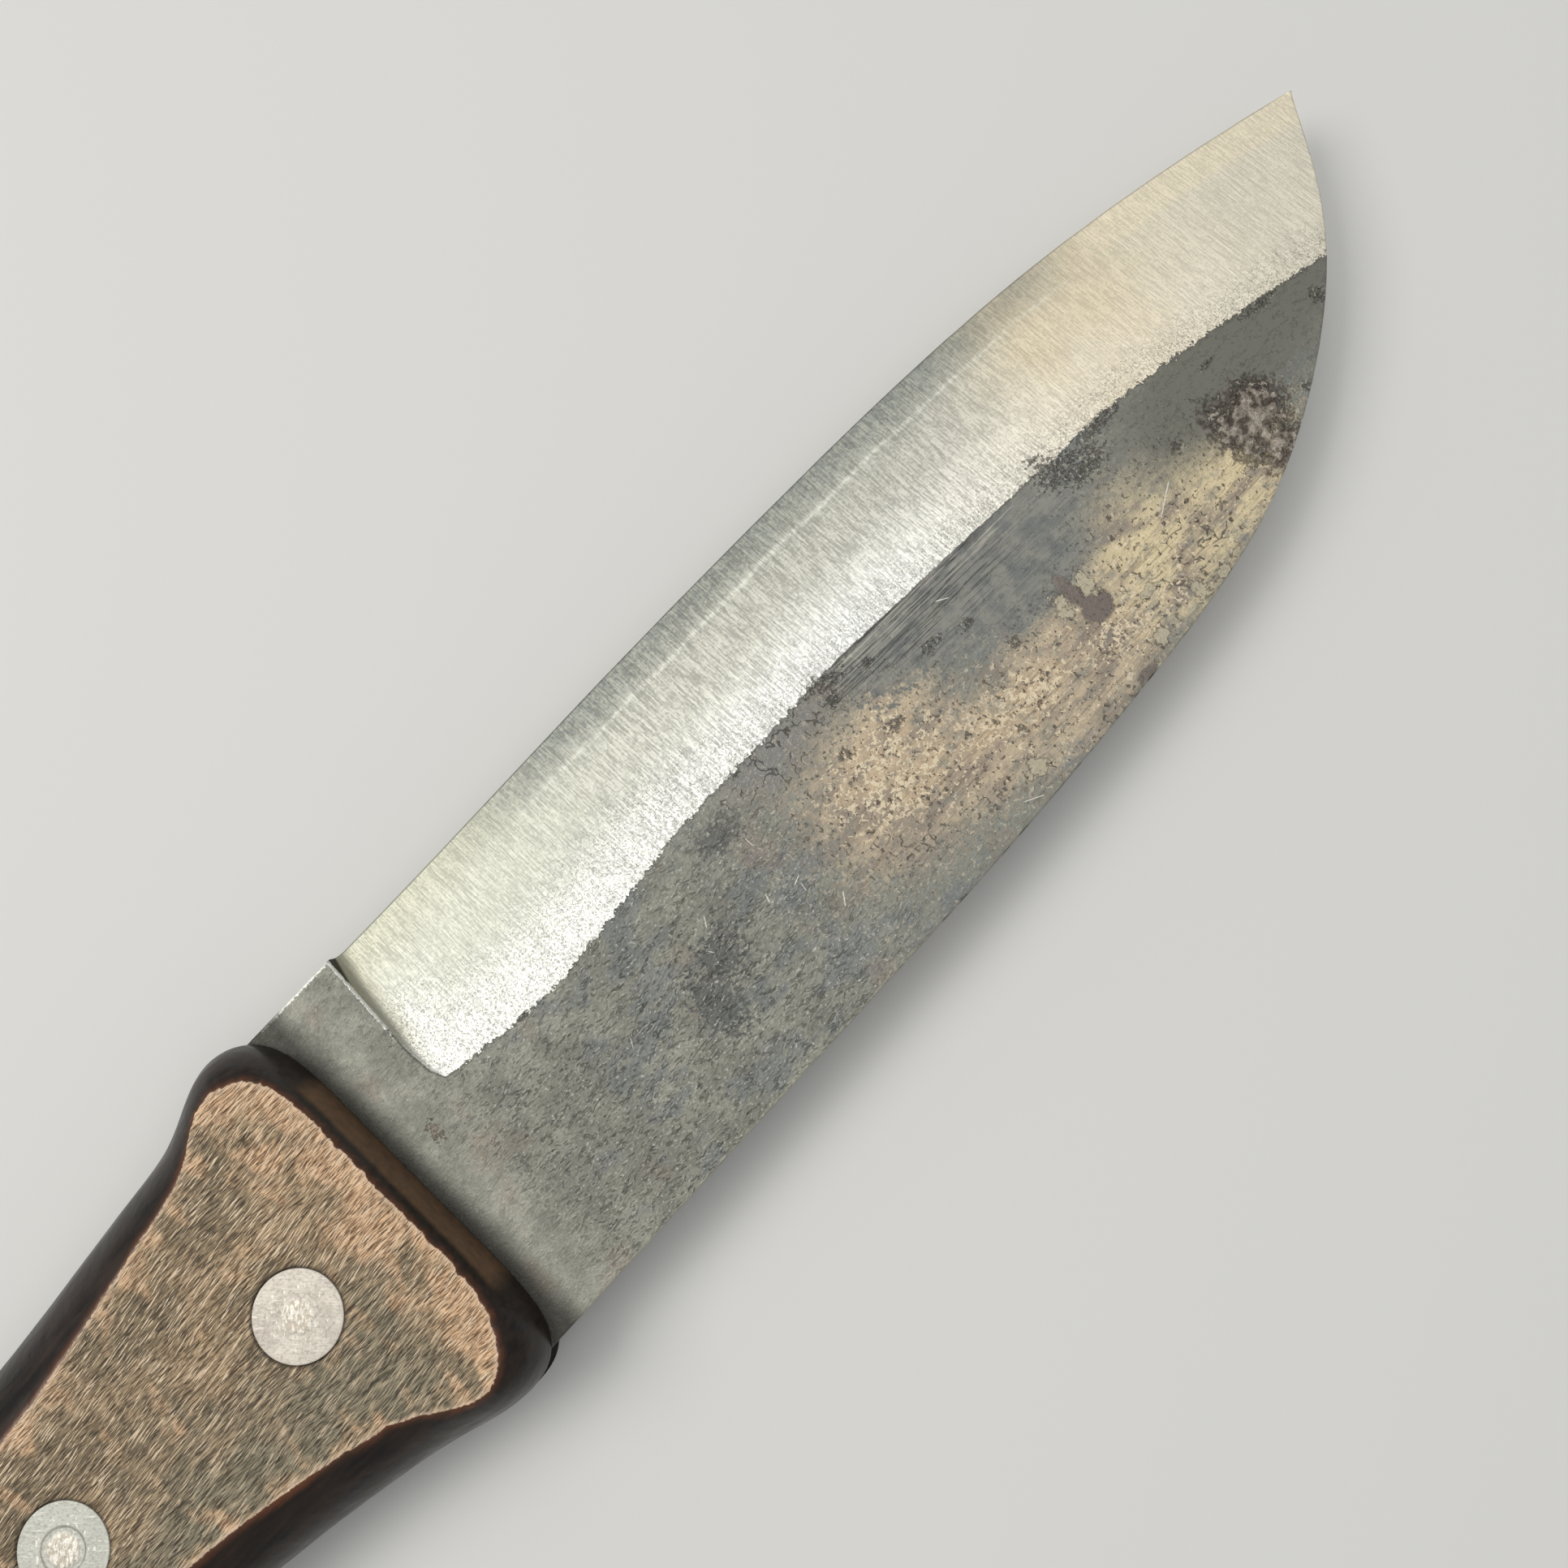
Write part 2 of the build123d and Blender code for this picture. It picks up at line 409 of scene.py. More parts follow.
class BladeShape:
    """The blade's outline and its left face's height, read from the frame's sections."""

    def __init__(self):
        self.x = blade_stations()
        self.low, self.high = (smoothed(side) for side in blade_sides(self.x))
        straight = self.x < FIRST_GROUND_X
        self.low[straight] = 0
        self.high[straight] = np.interp(self.x[straight], *zip(*HEEL_LINE))
        self.profiles = [top_profile(section(max(x, FIRST_GROUND_X))) for x in self.x]
        self.flat = [section(min(x, TIP_X - 1))[:, 1].max() for x in self.x]

    def height(self, column, x, y):
        """Height of the left face above the middle of the steel, with its plunge."""
        flat = self.flat[column]
        ground = np.minimum(np.interp(y, *self.profiles[column]), flat)
        depth = flat - ground
        along = (x - plunge_x(y)) / (PLUNGE_RAMP[0] + PLUNGE_RAMP[1] * depth)
        return ground + depth * np.clip(1 - along, 0, 1) ** 3

    def points(self):
        """X, y and the left face's height, in a table with a row for each station."""
        columns = []
        for number, station in enumerate(self.x):
            y = across(self.low[number], self.high[number])
            lean = max(1 - abs(station - PLUNGE_MIDDLE) / PLUNGE_REACH, 0)
            x = station + lean * (plunge_x(y) - PLUNGE_MIDDLE)
            rounding = np.clip(1 - (y - y[0]) / SPINE_ROUNDING, 0, 1)
            fall = SPINE_FALL * (1 - np.sqrt(1 - rounding**2))
            columns.append((x, y, self.height(number, x, y) - fall))
        return np.moveaxis(np.array(columns), 1, 0)


# Ovals that place the marks on each face: centre x and y, half sizes and, in some, a turn.
LEFT_MARKS = {
    "patina": (
        (70, 15, 11.5, 9.5), (78, 9.5, 12, 5.5, -10), (93, 8.5, 18, 7.6),
        (112, 11.5, 14, 9.2, 10), (124, 10, 9, 6.5, 20), (76, 21, 7, 4),
    ),
    "amber": ((70.5, 15.5, 10, 6.5), (84, 11, 10, 4, -10), (103, 7, 9, 3.5)),
    "peel": ((63, 26.6, 10, 3.4), (66, 8.6, 3.4, 2.8), (76, 5.5, 1.4, 1.8), (114, 8, 7, 4)),
    "smooth": ((92, 23.6, 20, 5.6, -5), (98, 18.5, 9, 3.6), (134, 20, 21, 6.5)),
    "dark": ((38, 12.5, 3.2, 5.5), (42, 15.5, 4.5, 3.5, 30), (52, 25, 4, 2.2)),
    "flake": ((100.6, 11.2, 2.1, 1.6), (99.8, 14.6, 0.9, 2.9), (98.5, 1.9, 1.4, 0.7)),
    "scab": (
        (98, 14.4, 0.9, 1.7), (101.8, 14.2, 0.8, 1.8), (82, 4, 1.4, 1.0),
        (103, 3.6, 0.9, 1.0), (110, 4.2, 0.8, 1.4), (113.4, 3.4, 0.9, 0.7),
        (106, 8.2, 1.6, 0.5),
    ),
    "crust": ((128, 12, 2.6, 5.2, 10), (131, 13.5, 3.0, 3.4), (130.5, 8.8, 1.8, 1.5)),
    "pits": (
        (110.5, 25.2, 3.6, 1.8, -10), (112.5, 23.6, 3.2, 1.6), (109, 27.8, 1.5, 0.8, -30),
        (117, 25.8, 3, 0.8, -5), (73, 28.3, 3, 0.9, -15), (72, 26.3, 1.2, 1.0),
        (91, 15.4, 1.0, 0.6), (84, 8, 0.8, 0.7), (84.5, 22.3, 1.8, 0.6),
        (89, 21, 1.2, 0.6), (121.2, 17.1, 0.9, 0.7), (125.7, 15.6, 0.5, 0.6),
        (140.5, 21.6, 2.4, 0.6, -10), (146.3, 17.3, 0.9, 1.0), (136.8, 10.8, 0.8, 0.9),
        (131, 21.2, 1.2, 0.4), (75, 19.2, 1.4, 0.7), (68.5, 20.9, 1.0, 0.7),
        (78, 26.2, 0.9, 0.6), (6.3, 25.6, 0.7, 1.6), (22.5, 27.3, 0.6, 0.4),
        (127.3, 9.6, 1.0, 0.8),
    ),
}
RIGHT_MARKS = {
    "patina": ((44, 12, 13, 8, 10), (60, 8, 14, 7), (98, 12, 17, 8.5, -5), (118, 9, 11, 6, 15)),
    "amber": ((46, 12, 9, 5), (100, 11, 10, 5)),
    "peel": ((62, 9, 7, 5), (30, 6, 5, 3), (110, 20, 5, 3)),
    "smooth": ((76, 24, 18, 5, 4), (128, 20, 16, 6, -10)),
    "dark": ((24, 18, 5, 6, 20), (86, 18, 6, 4, -20)),
    "flake": ((55, 14, 2.4, 1.7, 30), (108, 17, 1.6, 2.2)),
    "scab": ((64, 4, 1.4, 1.0), (92, 5, 1.1, 1.3), (115, 5, 1.0, 1.2)),
    "crust": ((36, 5, 2.6, 1.8),),
    "pits": (
        (66, 26, 4, 1.2, 8), (96, 25.5, 2.4, 1.0, -5), (30, 24, 1.2, 1.0),
        (50, 19, 1.0, 0.8), (88, 9, 0.9, 0.7), (122, 15, 1.1, 0.8), (140, 19, 1.5, 0.7),
    ),
}
# Small dents and lumps of the forged face: x, y, radius and height, negative for a dent.
LEFT_DENTS = (
    (91, 15.4, 0.9, -0.16), (84, 8, 0.8, -0.14), (84.5, 22.3, 1.2, -0.12), (89, 21, 0.9, -0.12),
    (121.2, 17.1, 0.8, -0.2), (125.7, 15.6, 0.5, -0.14), (146.3, 17.3, 0.8, -0.14),
    (110.5, 24.2, 1.6, -0.22), (109, 27.8, 0.8, -0.18), (127.3, 9.6, 0.9, -0.5),
    (128.4, 13.2, 1.6, 0.2), (130.8, 12.6, 1.3, 0.24), (129.6, 8.2, 1.0, 0.16),
    (72, 28.2, 1.0, -0.12), (6.3, 26, 0.8, -0.08),
)
RIGHT_DENTS = (
    (66, 26, 1.4, -0.2), (50, 19, 0.8, -0.15), (122, 15, 0.9, -0.18), (36, 5, 1.5, 0.2),
)
# Each face: its side of the steel, its marks, its dents and the seed of its relief.
FACES = ((1, LEFT_MARKS, LEFT_DENTS, 100), (-1, RIGHT_MARKS, RIGHT_DENTS, 200))


def wrinkles(x, y):
    """Where the forge scale is wrinkled: most near the handle, less along the blade."""
    return ease(x, 4, 14) * (0.25 + 0.75 * (1 - ease(x, 40, 66))) * (1 - 0.4 * ease(y, 22, 28))


def forged_relief(x, y, marks, dents, seed):
    """Height of the forged face above its flat: hammer marks, wrinkled scale, pits and crust."""
    swell = 0.055 * layered(x, y, (13, 9), seed)
    warp = 1.2 * noise(x, y, (5, 5), seed + 11)
    crease = abs(layered(x + warp, y + 0.6 * warp, (3.4, 1.3), seed + 20))
    wrinkled = 0.06 * (1 - 2.2 * crease) + 0.02 * noise(x, y, (0.9, 0.7), seed + 30)
    smooth = ease(patch(x, y, *marks["smooth"]), -0.1, 0.25)
    stained = ease(patch(x, y, *marks["patina"]), 0, 0.3)
    peel = stained * 0.035 * layered(x, y, (1.6, 1.3), seed + 40)
    lumps = 0.2 + 0.34 * noise(x, y, (1.7, 1.5), seed + 50)
    crust = ease(patch(x, y, *marks["crust"]), -0.15, 0.3) * lumps
    relief = (swell + wrinkles(x, y) * wrinkled + peel) * (1 - 0.75 * smooth) + crust
    for centre_x, centre_y, radius, height in dents:
        uneven = 1 + 0.35 * noise(x, y, (0.8, 0.8), seed + 60)
        distance = np.hypot(x - centre_x, y - centre_y) * uneven
        relief = relief + height * np.exp(-((distance / radius) ** 2) * 1.6)
    return relief


def faded_relief(x, y, marks, dents, seed):
    """The relief of one face, faded out on the ground bevel and at the rims."""
    gap = grind_gap(x, y)
    forged = forged_relief(x, y, marks, dents, seed) * (1 - ease(gap, -0.15, 0.35))
    bevel = 0.012 * noise(x, y, (6, 9), seed + 70) * ease(gap, 0, 1)
    high = y[:, -1:]
    rims = ease(y - y[:, :1], 0, 0.5) * (1 - ease(y, high - 1.2, high - 0.4))
    return (forged + bevel) * rims * ease(x, 0.5, 3)


def tang_outline():
    """The tang's outline from the blade's first column round the butt and back."""
    end_x = cad_points("blade")[:, 0].min()
    start, end, step = TANG_MIDDLE
    x = np.concatenate([end_x + np.array(BUTT_STEPS), np.arange(end_x + start, end, step), NECK_X])
    low, high = blade_sides(x)
    return np.vstack([np.stack([x, low], 1)[::-1], np.stack([x, high], 1)])


def make_blade():
    shape = BladeShape()
    x, y, height = shape.points()
    skin = Skin()
    tip_y = shape.low[-1] + TIP_SHARE * (shape.high[-1] - shape.low[-1])
    tip = [skin.add(TIP_X - TIP_GAP, tip_y, side * TIP_HALF_THICKNESS) for side, *_ in FACES]
    sides = []
    for side, *marks in FACES:
        numbers = skin.add(x, y, side * (height + faded_relief(x, y, *marks))).reshape(x.shape)
        corners = numbers[:-1, :-1], numbers[1:, :-1], numbers[1:, 1:], numbers[:-1, 1:]
        skin.faces += np.stack([corner.ravel() for corner in corners], 1).tolist()
        sides.append(numbers)
    for numbers, point in zip(sides, tip):
        last = numbers[-1]
        skin.faces += [[first, point[0], second] for first, second in zip(last, last[1:])]

    # The tang's two faces join the blade's first column.
    rows = x.shape[1]
    outline = np.vstack([np.stack([x[0], y[0]], 1)[::-1], tang_outline()])
    lines = [np.arange(*span, TANG_STEP) for span in TANG_GRID]
    grid = grid_inside(outline, *lines, RIVET_SHANK_RADIUS + 1)
    points, triangles = triangulated(outline, SHANK_HOLE, BORE_STEPS, grid)
    bores, rims = [], []
    for (side, *_), numbers, point in zip(FACES, sides, tip):
        tang = skin.cover(numbers[0, ::-1], points[rows:], triangles, side * shape.flat[0])
        bores.append(tang[len(outline):len(outline) + 3 * BORE_STEPS].reshape(3, BORE_STEPS))
        rim = tang[rows:len(outline)], numbers[:, -1], point, numbers[::-1, 0]
        rims.append(np.concatenate(rim))
    for upper, lower in zip(*bores):
        skin.bridge(upper, lower)

    # The narrow wall right round the knife.
    stack = np.vstack(skin.points)
    top, bottom = (stack[rim] for rim in rims)
    shares = np.arange(1, WALL_STEPS) / WALL_STEPS
    walls = [skin.add(*(top + (bottom - top) * share).T) for share in shares]
    skin.bridge(rims[0], *walls, rims[1])
    piece = skin.build("forged_blade")
    paint_blade(piece, shape)
    return piece


def paint_blade(piece, shape):
    """Everything the steel's material reads: the place, and how near each mark is."""
    x, y, z = points_of(piece).T
    on_left = z > 0
    spine = np.interp(x, shape.x, shape.low, left=-9)
    edge = np.interp(x, shape.x, shape.high, left=60)
    marks = {
        name: np.where(on_left, patch(x, y, *LEFT_MARKS[name]), patch(x, y, *RIGHT_MARKS[name]))
        for name in LEFT_MARKS
    }
    paint(
        piece, plan=np.stack([x, y, z + np.where(on_left, 0, RIGHT_FACE_SHIFT)], 1),
        grind_gap=grind_gap(x, y), plunge_gap=x - plunge_x(y), edge_gap=edge - y,
        spine_gap=y - spine, wall=abs(z).max() - abs(z), wrinkled=wrinkles(x, y), **marks,
    )


# ---------------- handle scales

SHOULDER_TURN = math.radians(55)
SHOULDER_LEVELS = 26
LOOP_STEPS = 760
MATCH_SMOOTHING = 5
RIM_INSETS = (0.14, 0.32, 0.56, 0.84)
WOOD_STEPS = (0.44, 0.44 * 0.87)
HIDDEN_STEPS = (3.0, 3.0)
WOOD_CLEAR = 0.25
HIDDEN_CLEAR = 0.8
FLAT_DEPTH = 0.2
BLOCK = 2000
LEFT_SEED, RIGHT_SEED, RIVET_SEED = 310, 370, 400
# Cuts in the rim of the flat: x, y, reach along the rim and depth.
RIM_CUTS = (
    (-16.6, 43.6, 0.55, 1.1), (-17.4, 5.6, 1.2, 0.9), (-3.3, 42.6, 0.9, 0.6),
    (-2.8, 39.6, 0.6, 0.6), (-2.4, 35.8, 0.8, 0.5), (-2.3, 28.4, 0.6, 0.4),
    (-2.4, 22.6, 0.5, 0.35), (-2.6, 12.6, 0.7, 0.6), (-3.2, 9.2, 0.8, 0.6),
    (-6.4, 3.6, 0.6, 0.5), (-33, 39, 0.8, 0.4), (-46, 12.6, 1.0, 0.4),
    (-71, 36.4, 0.8, 0.5), (-88, 12.2, 0.9, 0.5), (-104, 17, 0.8, 0.4),
)


def rim_wear(rim, seed, cuts):
    """How far the flat's rim is worn or chipped back at each of its points."""
    length = lengths(rim)
    chips = 0.14 * abs(noise(length, 0 * length, (0.7, 1), seed + 5))
    ragged = 0.22 * abs(layered(length, 0 * length, (2.2, 1), seed)) + chips
    wear = ragged * (0.55 + 1.25 * ease(rim[:, 0], -12, -3))
    for centre_x, centre_y, reach, depth in cuts:
        distance = np.hypot(rim[:, 0] - centre_x, rim[:, 1] - centre_y)
        wear = np.maximum(wear, depth * np.clip(1 - distance / (reach * 1.6), 0, 1))
    return wear


def matching(base, flat):
    """The rim point nearest each point of the base outline, with the steps evened out."""
    dense = evenly(flat, 4 * LOOP_STEPS)
    count = len(dense)
    nearest = np.array([np.hypot(*(dense - point).T).argmin() for point in base])
    place = np.unwrap(nearest * 2 * math.pi / count) * count / (2 * math.pi)
    whole_turn = round((place[-1] - place[0]) / count) * count
    reach = MATCH_SMOOTHING
    longer = np.concatenate([place[-reach:] - whole_turn, place, place[:reach] + whole_turn])
    even = np.convolve(longer, np.ones(2 * reach + 1) / (2 * reach + 1), "valid") % count
    return at_places(dense, np.arange(count + 1), even)


def rim_distance(points, loop):
    """How far points are from a closed outline."""
    blocks = np.array_split(points, len(points) // BLOCK + 1)
    return np.concatenate([
        np.hypot(block[:, :1] - loop[:, 0], block[:, 1:] - loop[:, 1]).min(1) for block in blocks
    ])


def make_scale(side, seed, cuts):
    """One wooden scale, side 1 on the left face and -1 on the right."""
    name = "left" if side > 0 else "right"
    heights = abs(cad_points(name + "_scale")[:, 2])
    foot, top = heights.min(), heights.max()
    base = evenly(level_loop(name + "_scale", side * foot), LOOP_STEPS)
    rim = matching(base, level_loop(name + "_scale", side * top))
    inward = rim - base
    unit = inward / np.hypot(*inward.T)[:, None]
    wear = rim_wear(rim, seed, cuts)[:, None]
    edge = rim + unit * wear

    # The rounded side, from the steel up to the rim of the flat.
    skin = Skin()
    levels = []
    for share in np.arange(SHOULDER_LEVELS + 1) / SHOULDER_LEVELS:
        angle = SHOULDER_TURN * share
        reach = (1 - math.cos(angle)) / (1 - math.cos(SHOULDER_TURN))
        z = foot + (top - foot) * math.sin(angle) / math.sin(SHOULDER_TURN)
        bumps = 0.05 * layered(base[:, 0] + 3 * z, base[:, 1] + 2 * z, (5, 3), seed + 7)
        worn = wear * reach**3 + (abs(bumps) * math.sin(math.pi * share))[:, None]
        drop = 0.1 * wear[:, 0] * reach**4
        levels.append(skin.add(*(base + inward * reach + unit * worn).T, side * (z - drop)))
    skin.bridge(*levels)

    # The worn flat, with a hole for each disc.
    insets = [edge + unit * inset - unit * wear * (inset / 2) for inset in RIM_INSETS]
    spans = list(zip(edge.min(0), edge.max(0)))
    lines = [np.arange(*span, step) for span, step in zip(spans, WOOD_STEPS)]
    grid = grid_inside(insets[-1], *lines, HEAD_HOLE + WOOD_CLEAR, WOOD_STEPS[0] / 2)
    grid = grid[rim_distance(grid, edge) > RIM_INSETS[-1] + WOOD_CLEAR]
    points, triangles = triangulated(edge, HEAD_HOLE, HOLE_STEPS, np.vstack(insets + [grid]))
    own = points[LOOP_STEPS:]
    gap = rim_distance(own, edge)
    grain = 0.5 + 0.5 * layered(own[:, 0], own[:, 1], (3.0, 0.55), seed + 15)
    sag = 0.03 * (1 - ease(gap, 0, 1.2)) + 0.045 * grain * ease(gap, 0, 0.4)
    sag = sag * ease(rivet_distance(own) - HEAD_HOLE, -0.1, 0.6)
    flat = skin.cover(levels[-1], own, triangles, side * (top - sag))

    # The hidden face against the steel, and the stepped holes between the two.
    lines = [np.arange(*span, step) for span, step in zip(spans, HIDDEN_STEPS)]
    grid = grid_inside(edge, *lines, SHANK_HOLE + HIDDEN_CLEAR)
    points, triangles = triangulated(base, SHANK_HOLE, HOLE_STEPS, grid)
    hidden = skin.cover(levels[0], points[LOOP_STEPS:], triangles, side * foot)
    start = LOOP_STEPS
    for centre, _, thickness in RIVETS.values():
        seat = side * (top - thickness)
        steps = [skin.ring(centre, radius, seat) for radius in (HEAD_HOLE, SHANK_HOLE)]
        skin.bridge(flat[start:start + HOLE_STEPS], *steps, hidden[start:start + HOLE_STEPS])
        start += HOLE_STEPS
    piece = skin.build(name + "_wood_scale")
    paint_scale(piece, side, top, edge, seed)
    return piece


def paint_scale(piece, side, top, loop, seed):
    """What the wood's material reads: the place, and how far the rim and the discs are."""
    points = points_of(piece)
    x, y, z = points.T
    drop = top - side * z
    flat = inside(points[:, :2], loop) & (drop < FLAT_DEPTH)
    gap = rim_distance(points[:, :2], loop)
    rim_gap = np.where(flat, gap, -np.hypot(gap, np.maximum(drop - 0.1, 0)))
    disc_gap = rivet_distance(points[:, :2]) - DISC_RADIUS
    place = np.stack([x, y, z + seed], 1)
    paint(piece, plan=place, rim_gap=rim_gap, drop=drop, disc_gap=disc_gap)


# ---------------- rivets

DISC_RINGS = 26
DISC_BEVEL = 0.16
BEVEL_STEPS = np.array([0.0, 0.1, 0.28, 0.5, 0.75])
PEEN_RINGS = 22
INNERMOST = 0.2
PEEN_DEPTH = 0.5
SHARP_RIM = 0.02
PEEN_STEPS = {"front": 0.002, "middle": 0.05, "rear": 0.01}


def disc_height(x, y, seed):
    """Unevenness of a disc's face: a slight dish, file marks and soft dents."""
    dish = 0.018 * (1 + layered(x, y, (2.4, 2.4), seed))
    return -0.02 - dish - 0.006 * (1 + noise(x + y, x - y, (3, 0.35), seed + 5))


def rounded(radius, distance):
    """How far a disc's face falls towards its rim."""
    near = np.clip((distance - (radius - DISC_BEVEL)) / DISC_BEVEL, 0, 1)
    return DISC_BEVEL * (1 - np.sqrt(np.maximum(1 - near**2, 0)))


def make_washer(place, seed):
    """The flush disc round a rivet's peened end."""
    centre, radius, thickness = RIVETS[place]
    skin = Skin()
    rings = []
    flat = np.linspace(RIVET_PEEN_RADIUS + SHARP_RIM, radius - DISC_BEVEL, DISC_RINGS)
    for reach in (RIVET_PEEN_RADIUS, *flat, *(radius - DISC_BEVEL * BEVEL_STEPS[::-1])):
        step = ease(-reach, -RIVET_PEEN_RADIUS - 0.12, -RIVET_PEEN_RADIUS) * PEEN_STEPS[place]
        fall = rounded(radius, reach) + step
        uneven = disc_height(*circle(centre, reach).T, seed)
        rings.append(skin.ring(centre, reach, SCALE_TOP + uneven - fall))
    rings.append(skin.ring(centre, radius, SCALE_TOP - thickness))
    for z in (SCALE_TOP - thickness, SCALE_TOP - PEEN_DEPTH - 0.01):
        rings.append(skin.ring(centre, RIVET_SHANK_RADIUS, z))
    skin.bridge(*rings, rings[0])
    return finish_metal(skin, place + "_rivet_washer", place, seed)


def hammered(x, y, centre, place, seed):
    """The peened end of a rivet, beaten down unevenly."""
    distance = np.hypot(x - centre[0], y - centre[1])
    rough = 0.05 * (layered(x, y, (0.9, 0.8), seed) - 1)
    crown = -0.03 * (distance / RIVET_PEEN_RADIUS) ** 2
    if place == "middle":
        angle = np.arctan2(y - centre[1], x - centre[0])
        rough = rough - 0.07 * ease(distance, 1.25, 1.55) * (0.6 + 0.4 * np.sin(angle + 1.1))
    return rough + crown - 0.01


def make_rivet(place, seed):
    """A rivet: its peened end on the left, its shank, and its flat head on the right."""
    centre, radius, thickness = RIVETS[place]
    skin = Skin()
    rings = []
    for share in (*np.linspace(0, 1 - SHARP_RIM / RIVET_PEEN_RADIUS, PEEN_RINGS)[1:], 1):
        x, y = circle(centre, RIVET_PEEN_RADIUS * share).T
        face = hammered(x, y, centre, place, seed)
        flush = disc_height(x, y, seed - 10) - PEEN_STEPS[place]
        rings.append(skin.add(x, y, SCALE_TOP + face + (flush - face) * ease(share, 0.7, 1.0)))
    for z in (SCALE_TOP - PEEN_DEPTH, 0.0, thickness - SCALE_TOP):
        rings.append(skin.ring(centre, RIVET_SHANK_RADIUS, z))
    rings.append(skin.ring(centre, radius, thickness - SCALE_TOP))
    flat = np.linspace(radius - DISC_BEVEL, INNERMOST, DISC_RINGS)
    for reach in (*(radius - DISC_BEVEL * BEVEL_STEPS), *flat):
        face = disc_height(*circle(centre, reach).T, seed + 30) - rounded(radius, reach)
        rings.append(skin.ring(centre, reach, -(SCALE_TOP + face)))
    skin.bridge(*rings)
    for ring, z in ((rings[0], SCALE_TOP - 0.03), (rings[-1], 0.04 - SCALE_TOP)):
        middle = skin.add(*centre, z)[0]
        skin.faces += [[first, second, middle] for first, second in zip(ring, np.roll(ring, -1))]
    return finish_metal(skin, place + "_rivet_pin", place, seed)


def finish_metal(skin, name, place, seed):
    """The finished piece, painted with what the aluminium's material reads."""
    piece = skin.build(name)
    x, y, z = points_of(piece).T
    centre, radius, _ = RIVETS[place]
    distance = np.hypot(x - centre[0], y - centre[1])
    cool = np.full(len(x), float(place == "middle"))
    plan = np.stack([x, y, z + seed], 1)
    paint(piece, plan=plan, from_centre=distance, from_rim=radius - distance, cool=cool)
    return piece


# ---------------- material building


def colour(red, green, blue):
    """A colour given as it looks on a screen, 0 to 255, as the linear one that a shader needs."""
    shares = (value / 255 for value in (red, green, blue))
    linear = [s / 12.92 if s < 0.04045 else ((s + 0.055) / 1.055) ** 2.4 for s in shares]
    return (*linear, 1.0)


def add_node(tree, kind, inputs, output=0, **settings):
    """Adds a node, fills its inputs with values or constants, and returns one of its outputs."""
    node = tree.nodes.new("ShaderNode" + kind)
    for name, setting in settings.items():
        setattr(node, name, setting)
    for name, value in inputs.items():
        if isinstance(value, Value):
            tree.links.new(value.socket, node.inputs[name])
        else:
            node.inputs[name].default_value = value
    return Value(node.outputs[output])


class Value:
    """What a shader node gives out: a number, a colour or a place. Working with it adds nodes."""

    def __init__(self, socket):
        self.socket = socket

    def node(self, kind, inputs, output=0, **settings):
        return add_node(self.socket.id_data, kind, inputs, output, **settings)

    def maths(self, operation, *others):
        return self.node("Math", dict(enumerate([self, *others])), operation=operation)

    def __add__(self, other):
        return self.maths("ADD", other)

    def __sub__(self, other):
        return self.maths("SUBTRACT", other)

    def __rsub__(self, other):
        return self.node("Math", {0: other, 1: self}, operation="SUBTRACT")

    def __mul__(self, other):
        return self.maths("MULTIPLY", other)

    def __abs__(self):
        return self.maths("ABSOLUTE")

    def band(self, low, high):
        """0 below low, 1 above high and smooth between. Low may be the greater."""
        if low > high:
            return 1.0 - self.band(high, low)
        inputs = {"Value": self, "From Min": low, "From Max": high}
        return self.node("MapRange", inputs, interpolation_type="SMOOTHSTEP")

    def within(self, low, high, soft):
        """1 between two values, fading out over soft."""
        return self.band(low - soft, low + soft) * self.band(high + soft, high - soft)

    def between(self, first, second):
        """Goes from the first number to the second as this goes from 0 to 1."""
        return self.node("Mix", {0: self, 2: first, 3: second}, data_type="FLOAT")

    def blend(self, first, second):
        """The same for colours. A plain colour is given as it looks on a screen."""
        tones = [colour(*tone) if isinstance(tone, tuple) else tone for tone in (first, second)]
        return self.node("Mix", {0: self, 6: tones[0], 7: tones[1]}, 2, data_type="RGBA")

    def over(self, *layers):
        """This colour with others laid over it in turn, each given as a share and a colour."""
        base = self
        for share, tone in layers:
            base = share.blend(base, tone)
        return base

    def lit(self, amount):
        """This colour made lighter or darker by a factor."""
        return self.node("VectorMath", {0: self, "Scale": amount}, operation="SCALE")

    def axis(self, name):
        return self.node("SeparateXYZ", {0: self}, name)

    def noise(self, scale, detail=2.0, rough=0.5, twist=0.0, output=0):
        inputs = {"Vector": self, "Scale": scale, "Detail": detail, "Roughness": rough}
        inputs["Distortion"] = twist
        return self.node("TexNoise", inputs, output)

    def grain(self, x, y, detail, rough, turn=0.0, z=1.0):
        """Noise that is scaled along each axis, after a turn in degrees about Z."""
        rotation = (0, 0, math.radians(turn))
        turned = self.node("Mapping", {"Vector": self, "Rotation": rotation}, vector_type="POINT")
        scaled = self.node("VectorMath", {0: turned, 1: (x, y, z)}, operation="MULTIPLY")
        return scaled.noise(1.0, detail, rough)

    def cells(self, scale, feature="F1"):
        return self.node("TexVoronoi", {"Vector": self, "Scale": scale}, feature=feature)

    def bent(self, scale, amount):
        """This place moved to and fro by noise."""
        shift = self.noise(scale, output="Color")
        inputs = {0: shift, 1: (amount, amount, amount), 2: self}
        return self.node("VectorMath", inputs, operation="MULTIPLY_ADD")

    def stroke(self, x, y, turn, length, width):
        """1 on a fine scratch that starts at x, y."""
        inputs = {"Vector": self, "Location": (x, y, 0), "Rotation": (0, 0, math.radians(turn))}
        local = self.node("Mapping", inputs, vector_type="TEXTURE")
        along = local.axis("X").within(0.0, length, 0.2)
        return along * abs(local.axis("Y")).band(width, width * 0.4)


